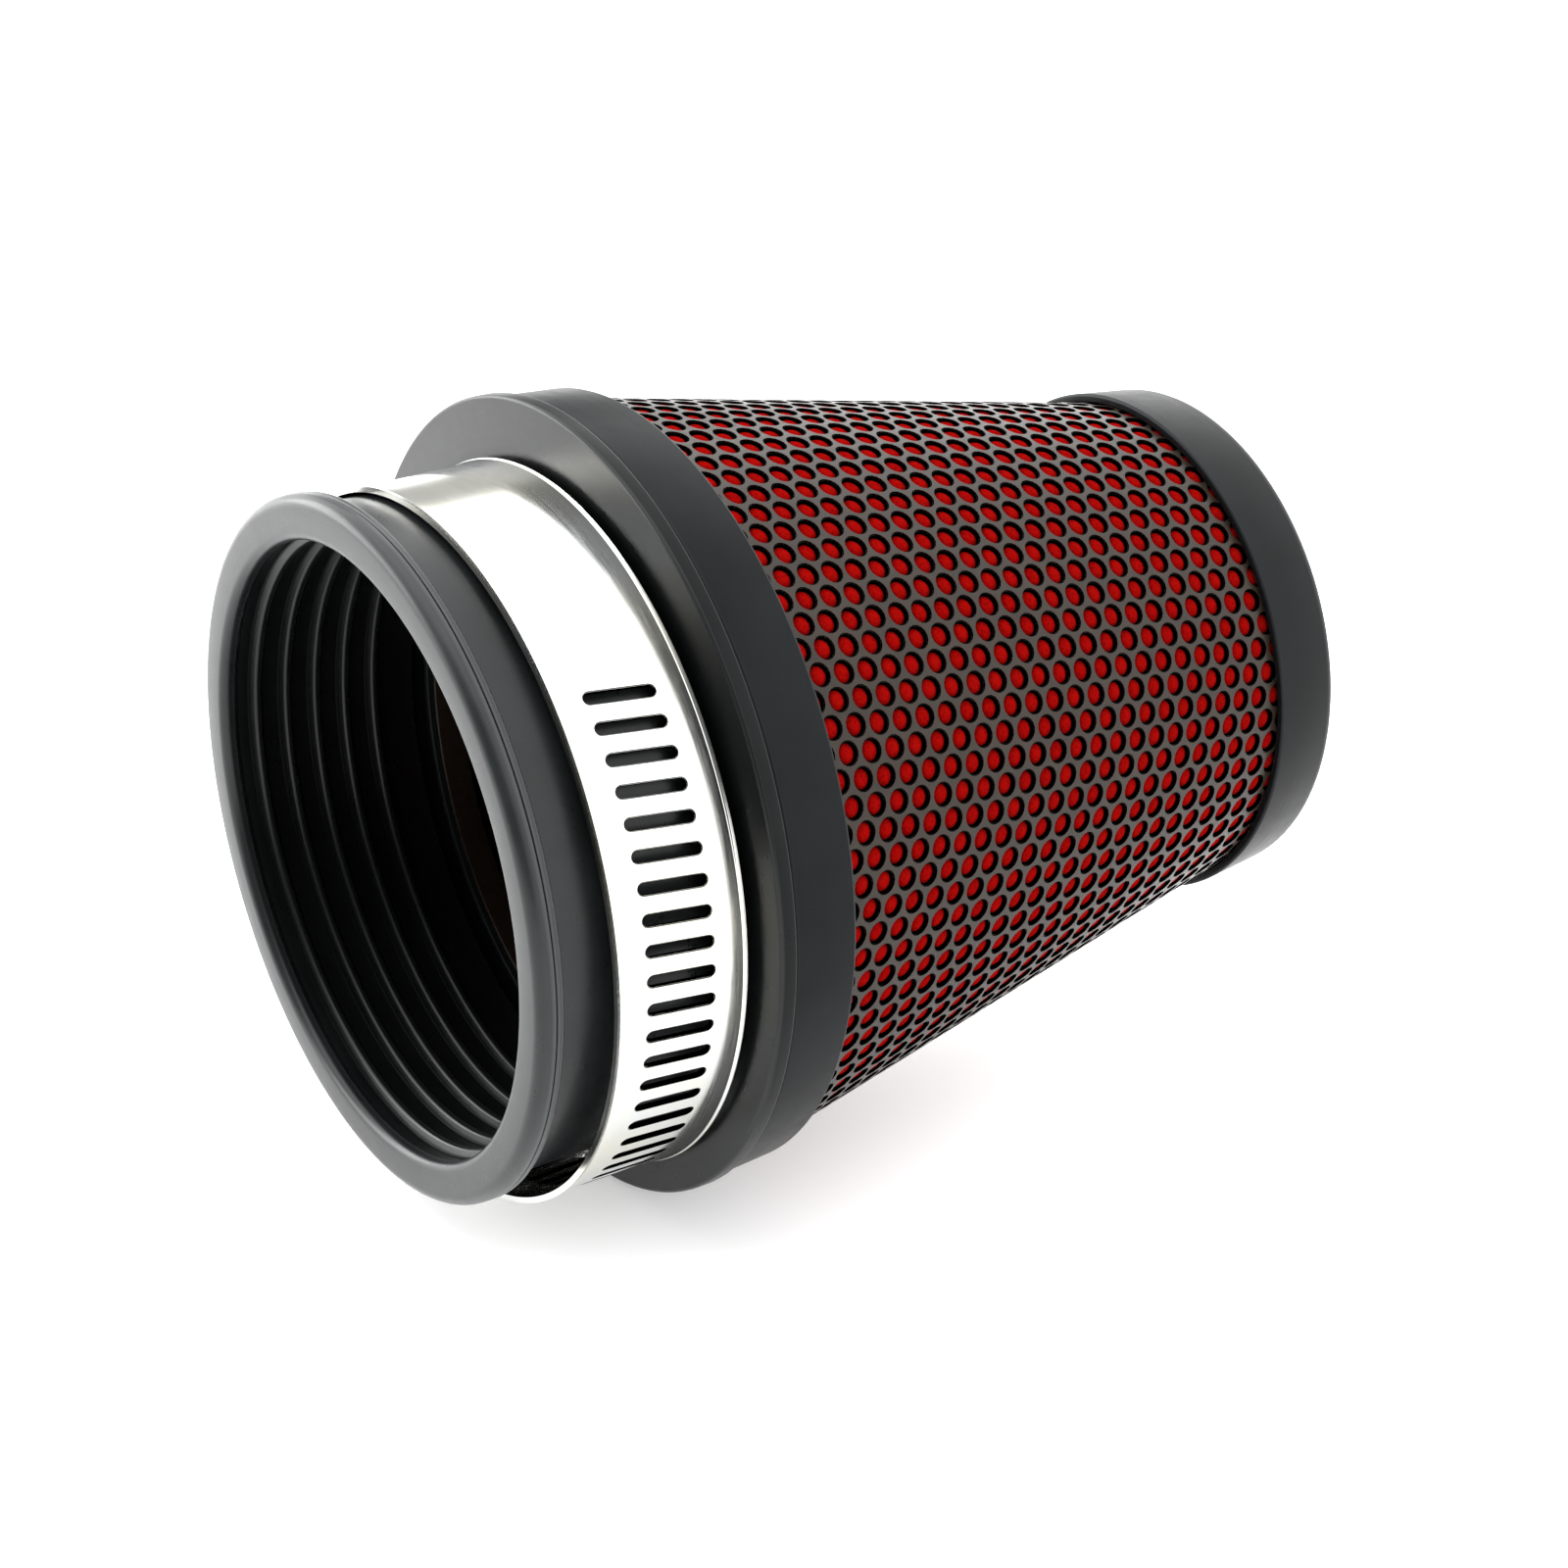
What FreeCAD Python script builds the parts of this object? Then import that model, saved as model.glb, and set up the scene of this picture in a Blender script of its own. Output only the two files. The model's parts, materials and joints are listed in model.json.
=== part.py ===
"""Conical clamp-on air filter for a motorcycle carburettor, as a parametric FreeCAD document.

Frame: +X runs along the filter's axis, from the mouth of the neck to the closed cap, and +Z is up.
The origin is the centre of the neck's mouth. Lengths are in millimetres and angles in degrees.
Turned pieces are drawn as half sections in the XZ plane and revolved about X.
The hose clamp hangs a little off the neck's axis, so its pieces are drawn about their own X axis,
with the worm housing on top and the band's front edge at X = 0, and one placement moves them all.
"""
import FreeCAD, Part
import math
import os
import Sketcher

DIMENSIONS = {
    # rubber neck
    "mouth_radius": 31.4,
    "mouth_land": 1.4,
    "mouth_taper": 0.6,
    "bore_radius": 31.9,
    "bore_relief_x": 22.6,
    "bore_relief_radius": 32.6,
    "lip_radius": 35.9,
    "lip_length": 2.8,
    "lip_front_round": 1.2,
    "lip_rear_round": 0.6,
    "neck_radius": 34.3,
    "flange_front_x": 22.5,
    "flange_rear_x": 24.3,
    "flange_radius": 41.4,
    "flange_round": 0.85,
    "soft_round": 0.45,
    "rib_radius": 31.0,
    "rib_first_x": 4.0,
    "rib_pitch": 3.39,
    "rib_count": 5,
    "rib_crest": 0.6,
    "rib_foot": 1.5,
    "root_overlap": 0.1,
    # base ring, which holds the wide ends of the screens
    "ring_front_radius": 41.0,
    "ring_rear_x": 31.5,
    "ring_rear_radius": 40.5,
    "ring_bore_radius": 31.95,
    "seat_x": 28.0,
    "collar_front_x": 24.9,
    "collar_radius": 31.4,
    # screens and foam: every cone has the same slope
    "cone_apex_x": 229.9,
    "cone_slope": 0.1989,
    "screen_gap": 0.05,
    "screen_thickness": 0.8,
    "foam_depth": 7.5,
    "inner_thickness": 0.7,
    "potting_depth": 1.5,
    # cap
    "cap_front_x": 93.8,
    "cap_front_radius": 28.05,
    "cap_end_x": 102.0,
    "cap_end_radius": 27.1,
    "cap_web_x": 97.6,
    "cap_round": 1.6,
    "cap_recess_radius": 21.5,
    "cap_recess_depth": 0.6,
    "screen_end_x": 97.0,
    "inner_end_x": 95.4,
    "disc_thickness": 0.7,
    # hose clamp
    "band_front_x": 7.45,
    "band_width": 14.05,
    "band_edge_width": 1.9,
    "band_radius": 36.2,
    "band_edge_radius": 36.5,
    "band_thickness": 0.6,
    "clamp_drop": 1.2,
    "clamp_drop_angle": 149.4,
    "clamp_turned": 237.9,
    "slots_per_turn": 75,
    "band_first_slot": 35,
    "band_slots": 39,
    "slot_length": 7.3,
    "slot_width": 1.25,
    "slot_rise": 0.37,
    "saddle_radius": 36.55,
    "saddle_thickness": 0.5,
    "tail_radius": 37.1,
    "tail_start": 2.4,
    "tail_sweep": 36.0,
    "tail_slots": 6,
    "housing_length": 15.0,
    "housing_sheet": 0.55,
    "housing_end_wall": 0.6,
    "housing_leg_bottom": 35.65,
    "tail_headroom": 0.15,
    "screw_bottom_depth": 0.5,
    "screw_core_radius": 3.2,
    "screw_thread_radius": 4.1,
    "screw_running_gap": 0.08,
    "screw_end_gap": 0.1,
    "thread_crest": 0.56,
    "thread_root": 1.24,
    "thread_turns": 3.75,
    "thread_start_turns": 1.75,
    "screw_collar_radius": 4.3,
    "screw_collar_length": 1.0,
    "head_flats": 7.9,
    "head_length": 6.0,
    "head_slot_width": 1.3,
    "head_slot_depth": 1.8,
    "side_gap": 0.06,
}

doc = FreeCAD.newDocument("air_filter")
sheet = doc.addObject("Spreadsheet::Sheet", "dims")
X_AXIS = FreeCAD.Vector(1, 0, 0)
ORIGIN = FreeCAD.Vector(0, 0, 0)
TOLERANCE = 0.01

CONE = "(dims.cone_apex_x - {x}) * dims.cone_slope"
SLOT_PITCH = "360 / dims.slots_per_turn"
CLAMP_MIDDLE = "dims.band_width / 2"
TAIL_TOP = "(dims.tail_radius + dims.band_thickness)"
SCREW_HEIGHT = "(" + TAIL_TOP + " + dims.screw_thread_radius - dims.screw_bottom_depth)"
HOUSING_SHOULDER = "(" + TAIL_TOP + " + dims.tail_headroom)"
SCREW_INNER_END = "(dims.housing_length / 2 - dims.housing_end_wall - dims.screw_end_gap)"
COLLAR_START = "(dims.housing_length / 2 + dims.screw_end_gap)"
COLLAR_END = "(" + COLLAR_START + " + dims.screw_collar_length)"
THREAD_PITCH = "(2 * pi * (" + TAIL_TOP + " - dims.screw_bottom_depth) / dims.slots_per_turn)"


def fill_sheet():
    """Puts each driving dimension in a row of the sheet and names its cell."""
    for row, (alias, value) in enumerate(DIMENSIONS.items(), start=1):
        sheet.set(f"A{row}", alias)
        sheet.set(f"B{row}", str(value))
        sheet.setAlias(f"B{row}", alias)
    doc.recompute()


def dim(alias):
    """The value of one driving dimension."""
    return float(sheet.get(alias))


def new_body(label):
    body = doc.addObject("PartDesign::Body", label)
    body.Label = label
    return body


def origin_feature(body, role):
    """One of the body's own origin planes or axes, found by its role."""
    return next(item for item in body.Origin.OriginFeatures if item.Role == role)


def new_sketch(body, name, role):
    sketch = body.newObject("Sketcher::SketchObject", name)
    sketch.AttachmentSupport = (origin_feature(body, role), [""])
    sketch.MapMode = "FlatFace"
    return sketch


def bind(sketch, kind, geometry, point, expression, value=1.0):
    """Adds one coordinate constraint, measured from the sketch's origin, and binds it to the sheet."""
    index = sketch.addConstraint(Sketcher.Constraint(kind, -1, 1, geometry, point, value))
    sketch.setExpression(f"Constraints[{index}]", expression)


def outline(body, name, role, points):
    """A closed polygon, each of whose corners is a pair of expressions of the sheet's cells."""
    sketch = new_sketch(body, name, role)
    count = len(points)
    start = [FreeCAD.Vector(math.cos(math.tau * i / count), math.sin(math.tau * i / count), 0)
             for i in range(count)]
    for i in range(count):
        sketch.addGeometry(Part.LineSegment(start[i], start[(i + 1) % count]), False)
    for i in range(count):
        sketch.addConstraint(Sketcher.Constraint("Coincident", i, 2, (i + 1) % count, 1))
    for i, (along, out) in enumerate(points):
        bind(sketch, "DistanceX", i, 1, along)
        bind(sketch, "DistanceY", i, 1, out)
    doc.recompute()
    return sketch


def revolve(body, name, points, angle="360"):
    """A solid of revolution about X, from a half section given as (station, radius) pairs."""
    sketch = outline(body, name + "_section", "XZ_Plane", points)
    turned = body.newObject("PartDesign::Revolution", name)
    turned.Profile = sketch
    turned.ReferenceAxis = (sketch, ["H_Axis"])
    turned.setExpression("Angle", angle)
    doc.recompute()
    return turned


def edge_names(shape, circles):
    """The names of the circular edges about X at the given (station, radius) pairs."""
    names = []
    for number, edge in enumerate(shape.Edges, start=1):
        curve = edge.Curve
        if not isinstance(curve, Part.Circle):
            continue
        for x, radius in circles:
            if abs(curve.Center.x - x) < TOLERANCE and abs(curve.Radius - radius) < TOLERANCE:
                names.append(f"Edge{number}")
    if len(names) < len(circles):
        raise ValueError(f"only {names} match {circles}")
    return names


def round_edges(body, name, alias, circles):
    """Fillets the circular edges at the given (station, radius) pairs of the body's tip."""
    base = body.Tip
    fillet = body.newObject("PartDesign::Fillet", name)
    fillet.Base = (base, edge_names(base.Shape, circles))
    fillet.setExpression("Radius", "dims." + alias)
    doc.recompute()
    return fillet


def make_neck():
    """The rubber moulding: grip lip, neck, five sealing ribs in the bore, and the rear flange."""
    body = new_body("neck_moulding")
    revolve(body, "neck_turned", [
        ("0", "dims.mouth_radius"),
        ("0", "dims.lip_radius"),
        ("dims.lip_length", "dims.lip_radius"),
        ("dims.lip_length", "dims.neck_radius"),
        ("dims.flange_front_x", "dims.neck_radius"),
        ("dims.flange_front_x", "dims.flange_radius"),
        ("dims.flange_rear_x", "dims.flange_radius"),
        ("dims.flange_rear_x", "dims.bore_relief_radius"),
        ("dims.bore_relief_x", "dims.bore_relief_radius"),
        ("dims.bore_relief_x", "dims.bore_radius"),
        ("dims.mouth_land + dims.mouth_taper", "dims.bore_radius"),
        ("dims.mouth_land", "dims.mouth_radius"),
    ])
    lip, neck = dim("lip_radius"), dim("neck_radius")
    front, rear, rim = dim("flange_front_x"), dim("flange_rear_x"), dim("flange_radius")
    round_edges(body, "lip_front", "lip_front_round", [(0, lip)])
    round_edges(body, "lip_rear", "lip_rear_round", [(dim("lip_length"), lip)])
    round_edges(body, "flange_front", "flange_round", [(front, rim)])
    round_edges(body, "soft_edges", "soft_round",
                [(0, dim("mouth_radius")), (dim("lip_length"), neck), (front, neck), (rear, rim)])
    add_ribs(body)
    return body


def add_ribs(body):
    """Raised rings that seal on the carburettor's spigot, each with a narrow flat crest."""
    middle = "dims.rib_first_x"
    root = "dims.bore_radius + dims.root_overlap"
    sketch = outline(body, "rib_section", "XZ_Plane", [
        (f"{middle} - dims.rib_foot / 2", root),
        (f"{middle} - dims.rib_crest / 2", "dims.rib_radius"),
        (f"{middle} + dims.rib_crest / 2", "dims.rib_radius"),
        (f"{middle} + dims.rib_foot / 2", root),
    ])
    rib = body.newObject("PartDesign::Revolution", "rib")
    rib.Profile = sketch
    rib.ReferenceAxis = (sketch, ["H_Axis"])
    rib.Angle = 360
    doc.recompute()
    before = body.Shape.Volume
    ribs = body.newObject("PartDesign::LinearPattern", "ribs")
    ribs.Originals = [rib]
    ribs.Direction = (origin_feature(body, "X_Axis"), [""])
    ribs.setExpression("Occurrences", "dims.rib_count")
    ribs.setExpression("Length", "dims.rib_pitch * (dims.rib_count - 1)")
    body.Tip = ribs
    doc.recompute()
    if body.Shape.Volume <= before:
        raise ValueError("the rib pattern added nothing")


def make_base_ring():
    """The stiff ring behind the flange: a web, and a thin wall that overlaps the outer screen."""
    body = new_body("base_ring")
    inside = CONE + " + dims.screen_gap"
    revolve(body, "ring_turned", [
        ("dims.flange_rear_x", "dims.ring_bore_radius"),
        ("dims.flange_rear_x", "dims.ring_front_radius"),
        ("dims.ring_rear_x", "dims.ring_rear_radius"),
        ("dims.ring_rear_x", inside.format(x="dims.ring_rear_x")),
        ("dims.seat_x", inside.format(x="dims.seat_x")),
        ("dims.seat_x", "dims.ring_bore_radius"),
    ])
    round_edges(body, "ring_rounds", "soft_round",
                [(dim("flange_rear_x"), dim("ring_front_radius")),
                 (dim("ring_rear_x"), dim("ring_rear_radius"))])
    return body


def make_inner_collar():
    """A short steel ring that stiffens the base ring's bore."""
    body = new_body("inner_collar")
    outer = "dims.ring_bore_radius"
    revolve(body, "collar_turned", [
        ("dims.collar_front_x", "dims.collar_radius"),
        ("dims.collar_front_x", outer),
        ("dims.seat_x", outer),
        ("dims.seat_x", "dims.collar_radius"),
    ])
    return body


def cone_shell(label, start, end, depth, thickness):
    """A conical sleeve parallel to the outer screen, whose outside is depth below the screen's."""
    body = new_body(label)
    outside = CONE + " - (" + depth + ")"
    inside = outside + " - (" + thickness + ")"
    revolve(body, label + "_turned", [
        (start, inside.format(x=start)),
        (start, outside.format(x=start)),
        (end, outside.format(x=end)),
        (end, inside.format(x=end)),
    ])
    return body


def make_element():
    """The filter element: outer screen, foam and inner screen, nested cones that touch."""
    foam_start = "(dims.seat_x + dims.potting_depth)"
    foam_end = "(dims.inner_end_x + dims.disc_thickness)"
    foam_outside = "dims.screen_thickness"
    foam_thickness = "dims.foam_depth - dims.screen_thickness"
    outer = cone_shell("outer_screen", "dims.seat_x", "dims.screen_end_x", "0", "dims.screen_thickness")
    foam = cone_shell("filter_foam", foam_start, foam_end, foam_outside, foam_thickness)
    inner = cone_shell("inner_screen", "dims.seat_x", "dims.inner_end_x",
                       "dims.foam_depth", "dims.inner_thickness")
    potting = cone_shell("base_potting", "dims.seat_x", foam_start, foam_outside, foam_thickness)
    return [outer, foam, inner, potting]


def make_inner_end_disc():
    """The steel disc that closes the inner screen's narrow end."""
    body = new_body("inner_end_disc")
    end = "(dims.inner_end_x + dims.disc_thickness)"
    radius = "(" + CONE.format(x=end) + " - dims.foam_depth)"
    revolve(body, "disc_turned", [
        ("dims.inner_end_x", "0"),
        ("dims.inner_end_x", radius),
        (end, radius),
        (end, "0"),
    ])
    return body


def make_cap_potting():
    """The cast polyurethane that bonds the foam and the screens into the cap."""
    body = new_body("cap_potting")
    start = "(dims.inner_end_x + dims.disc_thickness)"
    radius = "(" + CONE.format(x="dims.screen_end_x") + " - dims.screen_thickness)"
    revolve(body, "potting_turned", [
        (start, "0"),
        (start, radius),
        ("dims.cap_web_x", radius),
        ("dims.cap_web_x", "0"),
    ])
    return body


def make_end_cap():
    """The cap: a thin skirt over the outer screen and a thick end with a shallow recess."""
    body = new_body("end_cap")
    inside = CONE + " + dims.screen_gap"
    revolve(body, "cap_turned", [
        ("dims.cap_web_x", "0"),
        ("dims.cap_web_x", inside.format(x="dims.cap_web_x")),
        ("dims.cap_front_x", inside.format(x="dims.cap_front_x")),
        ("dims.cap_front_x", "dims.cap_front_radius"),
        ("dims.cap_end_x", "dims.cap_end_radius"),
        ("dims.cap_end_x", "dims.cap_recess_radius"),
        ("dims.cap_end_x - dims.cap_recess_depth", "dims.cap_recess_radius"),
        ("dims.cap_end_x - dims.cap_recess_depth", "0"),
    ])
    round_edges(body, "cap_round", "cap_round", [(dim("cap_end_x"), dim("cap_end_radius"))])
    return body


def slot_sketch(body, name, turned):
    """A long hole with round ends, leaning along the band, drawn over the band's top and turned."""
    sketch = new_sketch(body, name, "XY_Plane")
    sketch.AttachmentOffset = FreeCAD.Placement(ORIGIN, FreeCAD.Rotation(X_AXIS, turned))
    half = (dim("slot_length") - dim("slot_width")) / 2
    middle = dim("band_width") / 2
    radius = dim("slot_width") / 2
    rise = dim("slot_rise")
    lean = math.atan2(rise, half)
    ends = [FreeCAD.Vector(middle - half, rise, 0), FreeCAD.Vector(middle + half, -rise, 0)]
    side = FreeCAD.Vector(math.sin(lean), math.cos(lean), 0) * radius
    quarter = math.pi / 2 - lean
    for end, first in zip(ends, (quarter, quarter + math.pi)):
        circle = Part.Circle(end, FreeCAD.Vector(0, 0, 1), radius)
        sketch.addGeometry(Part.ArcOfCircle(circle, first, first + math.pi), False)
    sketch.addGeometry(Part.LineSegment(ends[0] - side, ends[1] - side), False)
    sketch.addGeometry(Part.LineSegment(ends[1] + side, ends[0] + side), False)
    for arc, arc_end, line, line_end in ((0, 2, 2, 1), (1, 1, 2, 2), (1, 2, 3, 1), (0, 1, 3, 2)):
        sketch.addConstraint(Sketcher.Constraint("Tangent", arc, arc_end, line, line_end))
    across = "(dims.slot_length - dims.slot_width) / 2"
    for arc, end, sign in ((0, ends[0], "-"), (1, ends[1], "+")):
        bind(sketch, "DistanceX", arc, 3, f"{CLAMP_MIDDLE} {sign} {across}", end.x)
    bind(sketch, "DistanceY", 0, 3, "dims.slot_rise", ends[0].y)
    bind(sketch, "DistanceY", 1, 3, "-dims.slot_rise", ends[1].y)
    index = sketch.addConstraint(Sketcher.Constraint("Radius", 0, radius))
    sketch.setExpression(f"Constraints[{index}]", "dims.slot_width / 2")
    doc.recompute()
    return sketch


def cut_slots(body, name, turned, count_alias):
    """Cuts one slot through the band on the side the sketch is turned to, then repeats it."""
    before = body.Shape.Volume
    slot = body.newObject("PartDesign::Pocket", name)
    slot.Profile = slot_sketch(body, name + "_sketch", turned)
    slot.Reversed = True
    slot.setExpression("Length", "2 * dims.tail_radius")
    doc.recompute()
    single = before - body.Shape.Volume
    row = body.newObject("PartDesign::PolarPattern", name + "_row")
    row.Originals = [slot]
    row.Axis = (origin_feature(body, "X_Axis"), [""])
    row.setExpression("Occurrences", "dims." + count_alias)
    row.setExpression("Angle", f"({SLOT_PITCH}) * (dims.{count_alias} - 1)")
    body.Tip = row
    doc.recompute()
    cut = before - body.Shape.Volume
    if single <= 0 or abs(cut / single - dim(count_alias)) > TOLERANCE:
        raise ValueError(f"{name}: one slot takes {single:.3f} and the row {cut:.3f}")


def make_clamp_band():
    """The clamp's loop: thin strip with edges turned out, smooth on one side and slotted on the other."""
    body = new_body("clamp_band")
    edge, rise = "dims.band_edge_width", "dims.band_edge_radius"
    revolve(body, "band_turned", [
        ("0", f"{rise} - dims.band_thickness"),
        ("0", rise),
        (edge, "dims.band_radius"),
        (f"dims.band_width - {edge}", "dims.band_radius"),
        ("dims.band_width", rise),
        ("dims.band_width", f"{rise} - dims.band_thickness"),
        (f"dims.band_width - {edge}", "dims.band_radius - dims.band_thickness"),
        (edge, "dims.band_radius - dims.band_thickness"),
    ])
    pitch = 360 / dim("slots_per_turn")
    cut_slots(body, "band_slot", pitch * dim("band_first_slot"), "band_slots")
    return body


def make_band_tail():
    """The band's free end, which leaves the housing under the screw's head."""
    body = new_body("band_tail")
    revolve(body, "tail_turned", [
        ("0", "dims.tail_radius"),
        ("0", TAIL_TOP),
        ("dims.band_width", TAIL_TOP),
        ("dims.band_width", "dims.tail_radius"),
    ], "dims.tail_sweep")
    body.Group[0].AttachmentOffset = FreeCAD.Placement(
        ORIGIN, FreeCAD.Rotation(X_AXIS, -dim("tail_start")))
    doc.recompute()
    cut_slots(body, "tail_slot", 0, "tail_slots")
    return body


def make_saddle():
    """The curved plate under the worm, welded to the fixed end of the band."""
    body = new_body("clamp_saddle")
    sweep = math.degrees(2 * math.asin(dim("housing_length") / 2 / dim("saddle_radius")))
    revolve(body, "saddle_turned", [
        ("0", "dims.saddle_radius"),
        ("0", "dims.saddle_radius + dims.saddle_thickness"),
        ("dims.band_width", "dims.saddle_radius + dims.saddle_thickness"),
        ("dims.band_width", "dims.saddle_radius"),
    ], "2 * asin(dims.housing_length / 2 / dims.saddle_radius)")
    body.Group[0].AttachmentOffset = FreeCAD.Placement(
        ORIGIN, FreeCAD.Rotation(X_AXIS, -sweep / 2))
    doc.recompute()
    return body


def bound_box(name, sizes, corner):
    """A Part::Box whose three sizes and corner are expressions."""
    box = doc.addObject("Part::Box", name)
    for key, expression in zip(("Length", "Width", "Height"), sizes):
        box.setExpression(key, expression)
    for key, expression in zip("xyz", corner):
        box.setExpression("Placement.Base." + key, expression)
    return box


def bound_cylinder(name, radius, length, start_y):
    """A Part::Cylinder along Y at the screw's height, from start_y towards +Y."""
    cylinder = doc.addObject("Part::Cylinder", name)
    cylinder.setExpression("Radius", radius)
    cylinder.setExpression("Height", length)
    cylinder.Placement.Rotation = FreeCAD.Rotation(X_AXIS, -90)
    cylinder.setExpression("Placement.Base.x", CLAMP_MIDDLE)
    cylinder.setExpression("Placement.Base.y", start_y)
    cylinder.setExpression("Placement.Base.z", SCREW_HEIGHT)
    return cylinder


def hull_of_sheet(name, grow, length, start_y):
    """The housing's outline as a solid: a wide foot, an upright throat and a round back."""
    foot_half = f"({CLAMP_MIDDLE} + dims.side_gap + {grow})"
    throat_half = f"(dims.screw_thread_radius + dims.screw_running_gap + {grow})"
    bottom = "dims.housing_leg_bottom"
    foot_height = f"{HOUSING_SHOULDER} + {grow} - {bottom}"
    foot = bound_box(name + "_foot", (f"2 * {foot_half}", length, foot_height),
                     (f"{CLAMP_MIDDLE} - {foot_half}", start_y, bottom))
    throat = bound_box(name + "_throat", (f"2 * {throat_half}", length, f"{SCREW_HEIGHT} - {bottom}"),
                       (f"{CLAMP_MIDDLE} - {throat_half}", start_y, bottom))
    back = bound_cylinder(name + "_back", throat_half, length, start_y)
    fused = doc.addObject("Part::MultiFuse", name)
    fused.Shapes = [foot, throat, back]
    return fused


def make_housing():
    """The folded sheet that carries the screw, open below and at the head end."""
    sheet_thickness, start = "dims.housing_sheet", "-dims.housing_length / 2"
    outer = hull_of_sheet("housing_outer", sheet_thickness, "dims.housing_length", start)
    inner = hull_of_sheet("housing_inner", "0", "dims.housing_length - dims.housing_end_wall", start)
    passage = bound_box("housing_passage",
                        ("dims.band_width + 2 * dims.side_gap", "dims.housing_length",
                         f"{HOUSING_SHOULDER} - dims.housing_leg_bottom"),
                        ("-dims.side_gap", start, "dims.housing_leg_bottom"))
    space = doc.addObject("Part::MultiFuse", "housing_space")
    space.Shapes = [inner, passage]
    housing = doc.addObject("Part::Cut", "clamp_housing")
    housing.Base = outer
    housing.Tool = space
    housing.Label = "clamp_housing"
    doc.recompute()
    return housing


def make_screw():
    """The worm screw: threaded core, collar and slotted hexagon head, along its own Z axis."""
    body = new_body("worm_screw")
    sketch = outline(body, "core_section", "XZ_Plane", [
        ("0", "-" + SCREW_INNER_END),
        ("dims.screw_core_radius", "-" + SCREW_INNER_END),
        ("dims.screw_core_radius", COLLAR_START),
        ("dims.screw_collar_radius", COLLAR_START),
        ("dims.screw_collar_radius", COLLAR_END),
        ("0", COLLAR_END),
    ])
    core = body.newObject("PartDesign::Revolution", "core")
    core.Profile = sketch
    core.ReferenceAxis = (sketch, ["V_Axis"])
    core.Angle = 360
    doc.recompute()
    add_head(body)
    add_thread(body)
    return body


def add_head(body):
    """The hexagon head and the screwdriver slot across its end."""
    corner = "dims.head_flats / sqrt(3)"
    hexagon = outline(body, "hexagon", "XY_Plane",
                      [(f"{corner} * cos({angle})", f"{corner} * sin({angle})")
                       for angle in range(0, 360, 60)])
    hexagon.setExpression("AttachmentOffset.Base.z", COLLAR_END)
    doc.recompute()
    head = body.newObject("PartDesign::Pad", "head")
    head.Profile = hexagon
    head.setExpression("Length", "dims.head_length")
    doc.recompute()
    before = body.Shape.Volume
    half = "dims.head_slot_width / 2"
    bottom = f"{COLLAR_END} + dims.head_length - dims.head_slot_depth"
    top = f"{COLLAR_END} + dims.head_length + dims.head_slot_depth"
    groove = outline(body, "driver_slot_section", "XZ_Plane",
                     [("-" + half, bottom), (half, bottom), (half, top), ("-" + half, top)])
    cut = body.newObject("PartDesign::Pocket", "driver_slot")
    cut.Profile = groove
    cut.Midplane = True
    cut.setExpression("Length", "2 * dims.head_flats")
    doc.recompute()
    if body.Shape.Volume >= before:
        raise ValueError("the driver slot cut nothing")


def add_thread(body):
    """One start of trapezoid thread, whose pitch is the slots' and whose tooth fills the top slot."""
    middle = f"(-dims.thread_start_turns * {THREAD_PITCH})"
    root, crest = "dims.screw_core_radius - dims.root_overlap", "dims.screw_thread_radius"
    sketch = outline(body, "thread_section", "XZ_Plane", [
        (root, f"{middle} - dims.thread_root / 2"),
        (root, f"{middle} + dims.thread_root / 2"),
        (crest, f"{middle} + dims.thread_crest / 2"),
        (crest, f"{middle} - dims.thread_crest / 2"),
    ])
    before = body.Shape.Volume
    thread = body.newObject("PartDesign::AdditiveHelix", "thread")
    thread.Profile = sketch
    thread.ReferenceAxis = (sketch, ["V_Axis"])
    thread.Mode = "pitch-height-angle"
    thread.setExpression("Pitch", THREAD_PITCH)
    thread.setExpression("Height", "dims.thread_turns * " + THREAD_PITCH)
    doc.recompute()
    if body.Shape.Volume <= before:
        raise ValueError("the thread added nothing")


def clamp_placement():
    """Where the clamp hangs: dropped to one side of the neck's axis, with the housing underneath."""
    drop = math.radians(dim("clamp_drop_angle"))
    base = FreeCAD.Vector(dim("band_front_x"),
                          -dim("clamp_drop") * math.sin(drop),
                          dim("clamp_drop") * math.cos(drop))
    return FreeCAD.Placement(base, FreeCAD.Rotation(X_AXIS, dim("clamp_turned")))


def screw_placement():
    """Lays the screw along the clamp's -Y direction, over the middle of the saddle."""
    height = dim("tail_radius") + dim("band_thickness") + dim("screw_thread_radius")
    base = FreeCAD.Vector(dim("band_width") / 2, 0, height - dim("screw_bottom_depth"))
    return FreeCAD.Placement(base, FreeCAD.Rotation(X_AXIS, 90))


def build():
    """Makes every piece and places the clamp. Returns the pieces that are written."""
    fill_sheet()
    pieces = [make_neck(), make_base_ring(), make_inner_collar()]
    pieces += make_element()
    pieces += [make_inner_end_disc(), make_cap_potting(), make_end_cap()]
    clamp = [make_clamp_band(), make_band_tail(), make_saddle(), make_housing()]
    for piece in clamp:
        piece.Placement = clamp_placement()
    screw = make_screw()
    screw.Placement = clamp_placement() * screw_placement()
    return pieces + clamp + [screw]


def check(pieces):
    """Stops if any object of the document failed, or any piece is not one valid solid."""
    doc.recompute()
    failed = [item.Name for item in doc.Objects if "Invalid" in item.State or "Error" in item.State]
    if failed:
        raise ValueError(f"these objects failed: {failed}")
    for piece in pieces:
        shape = piece.Shape
        if shape.isNull() or not shape.isValid() or len(shape.Solids) != 1:
            raise ValueError(f"{piece.Label} is not one valid solid")


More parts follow.
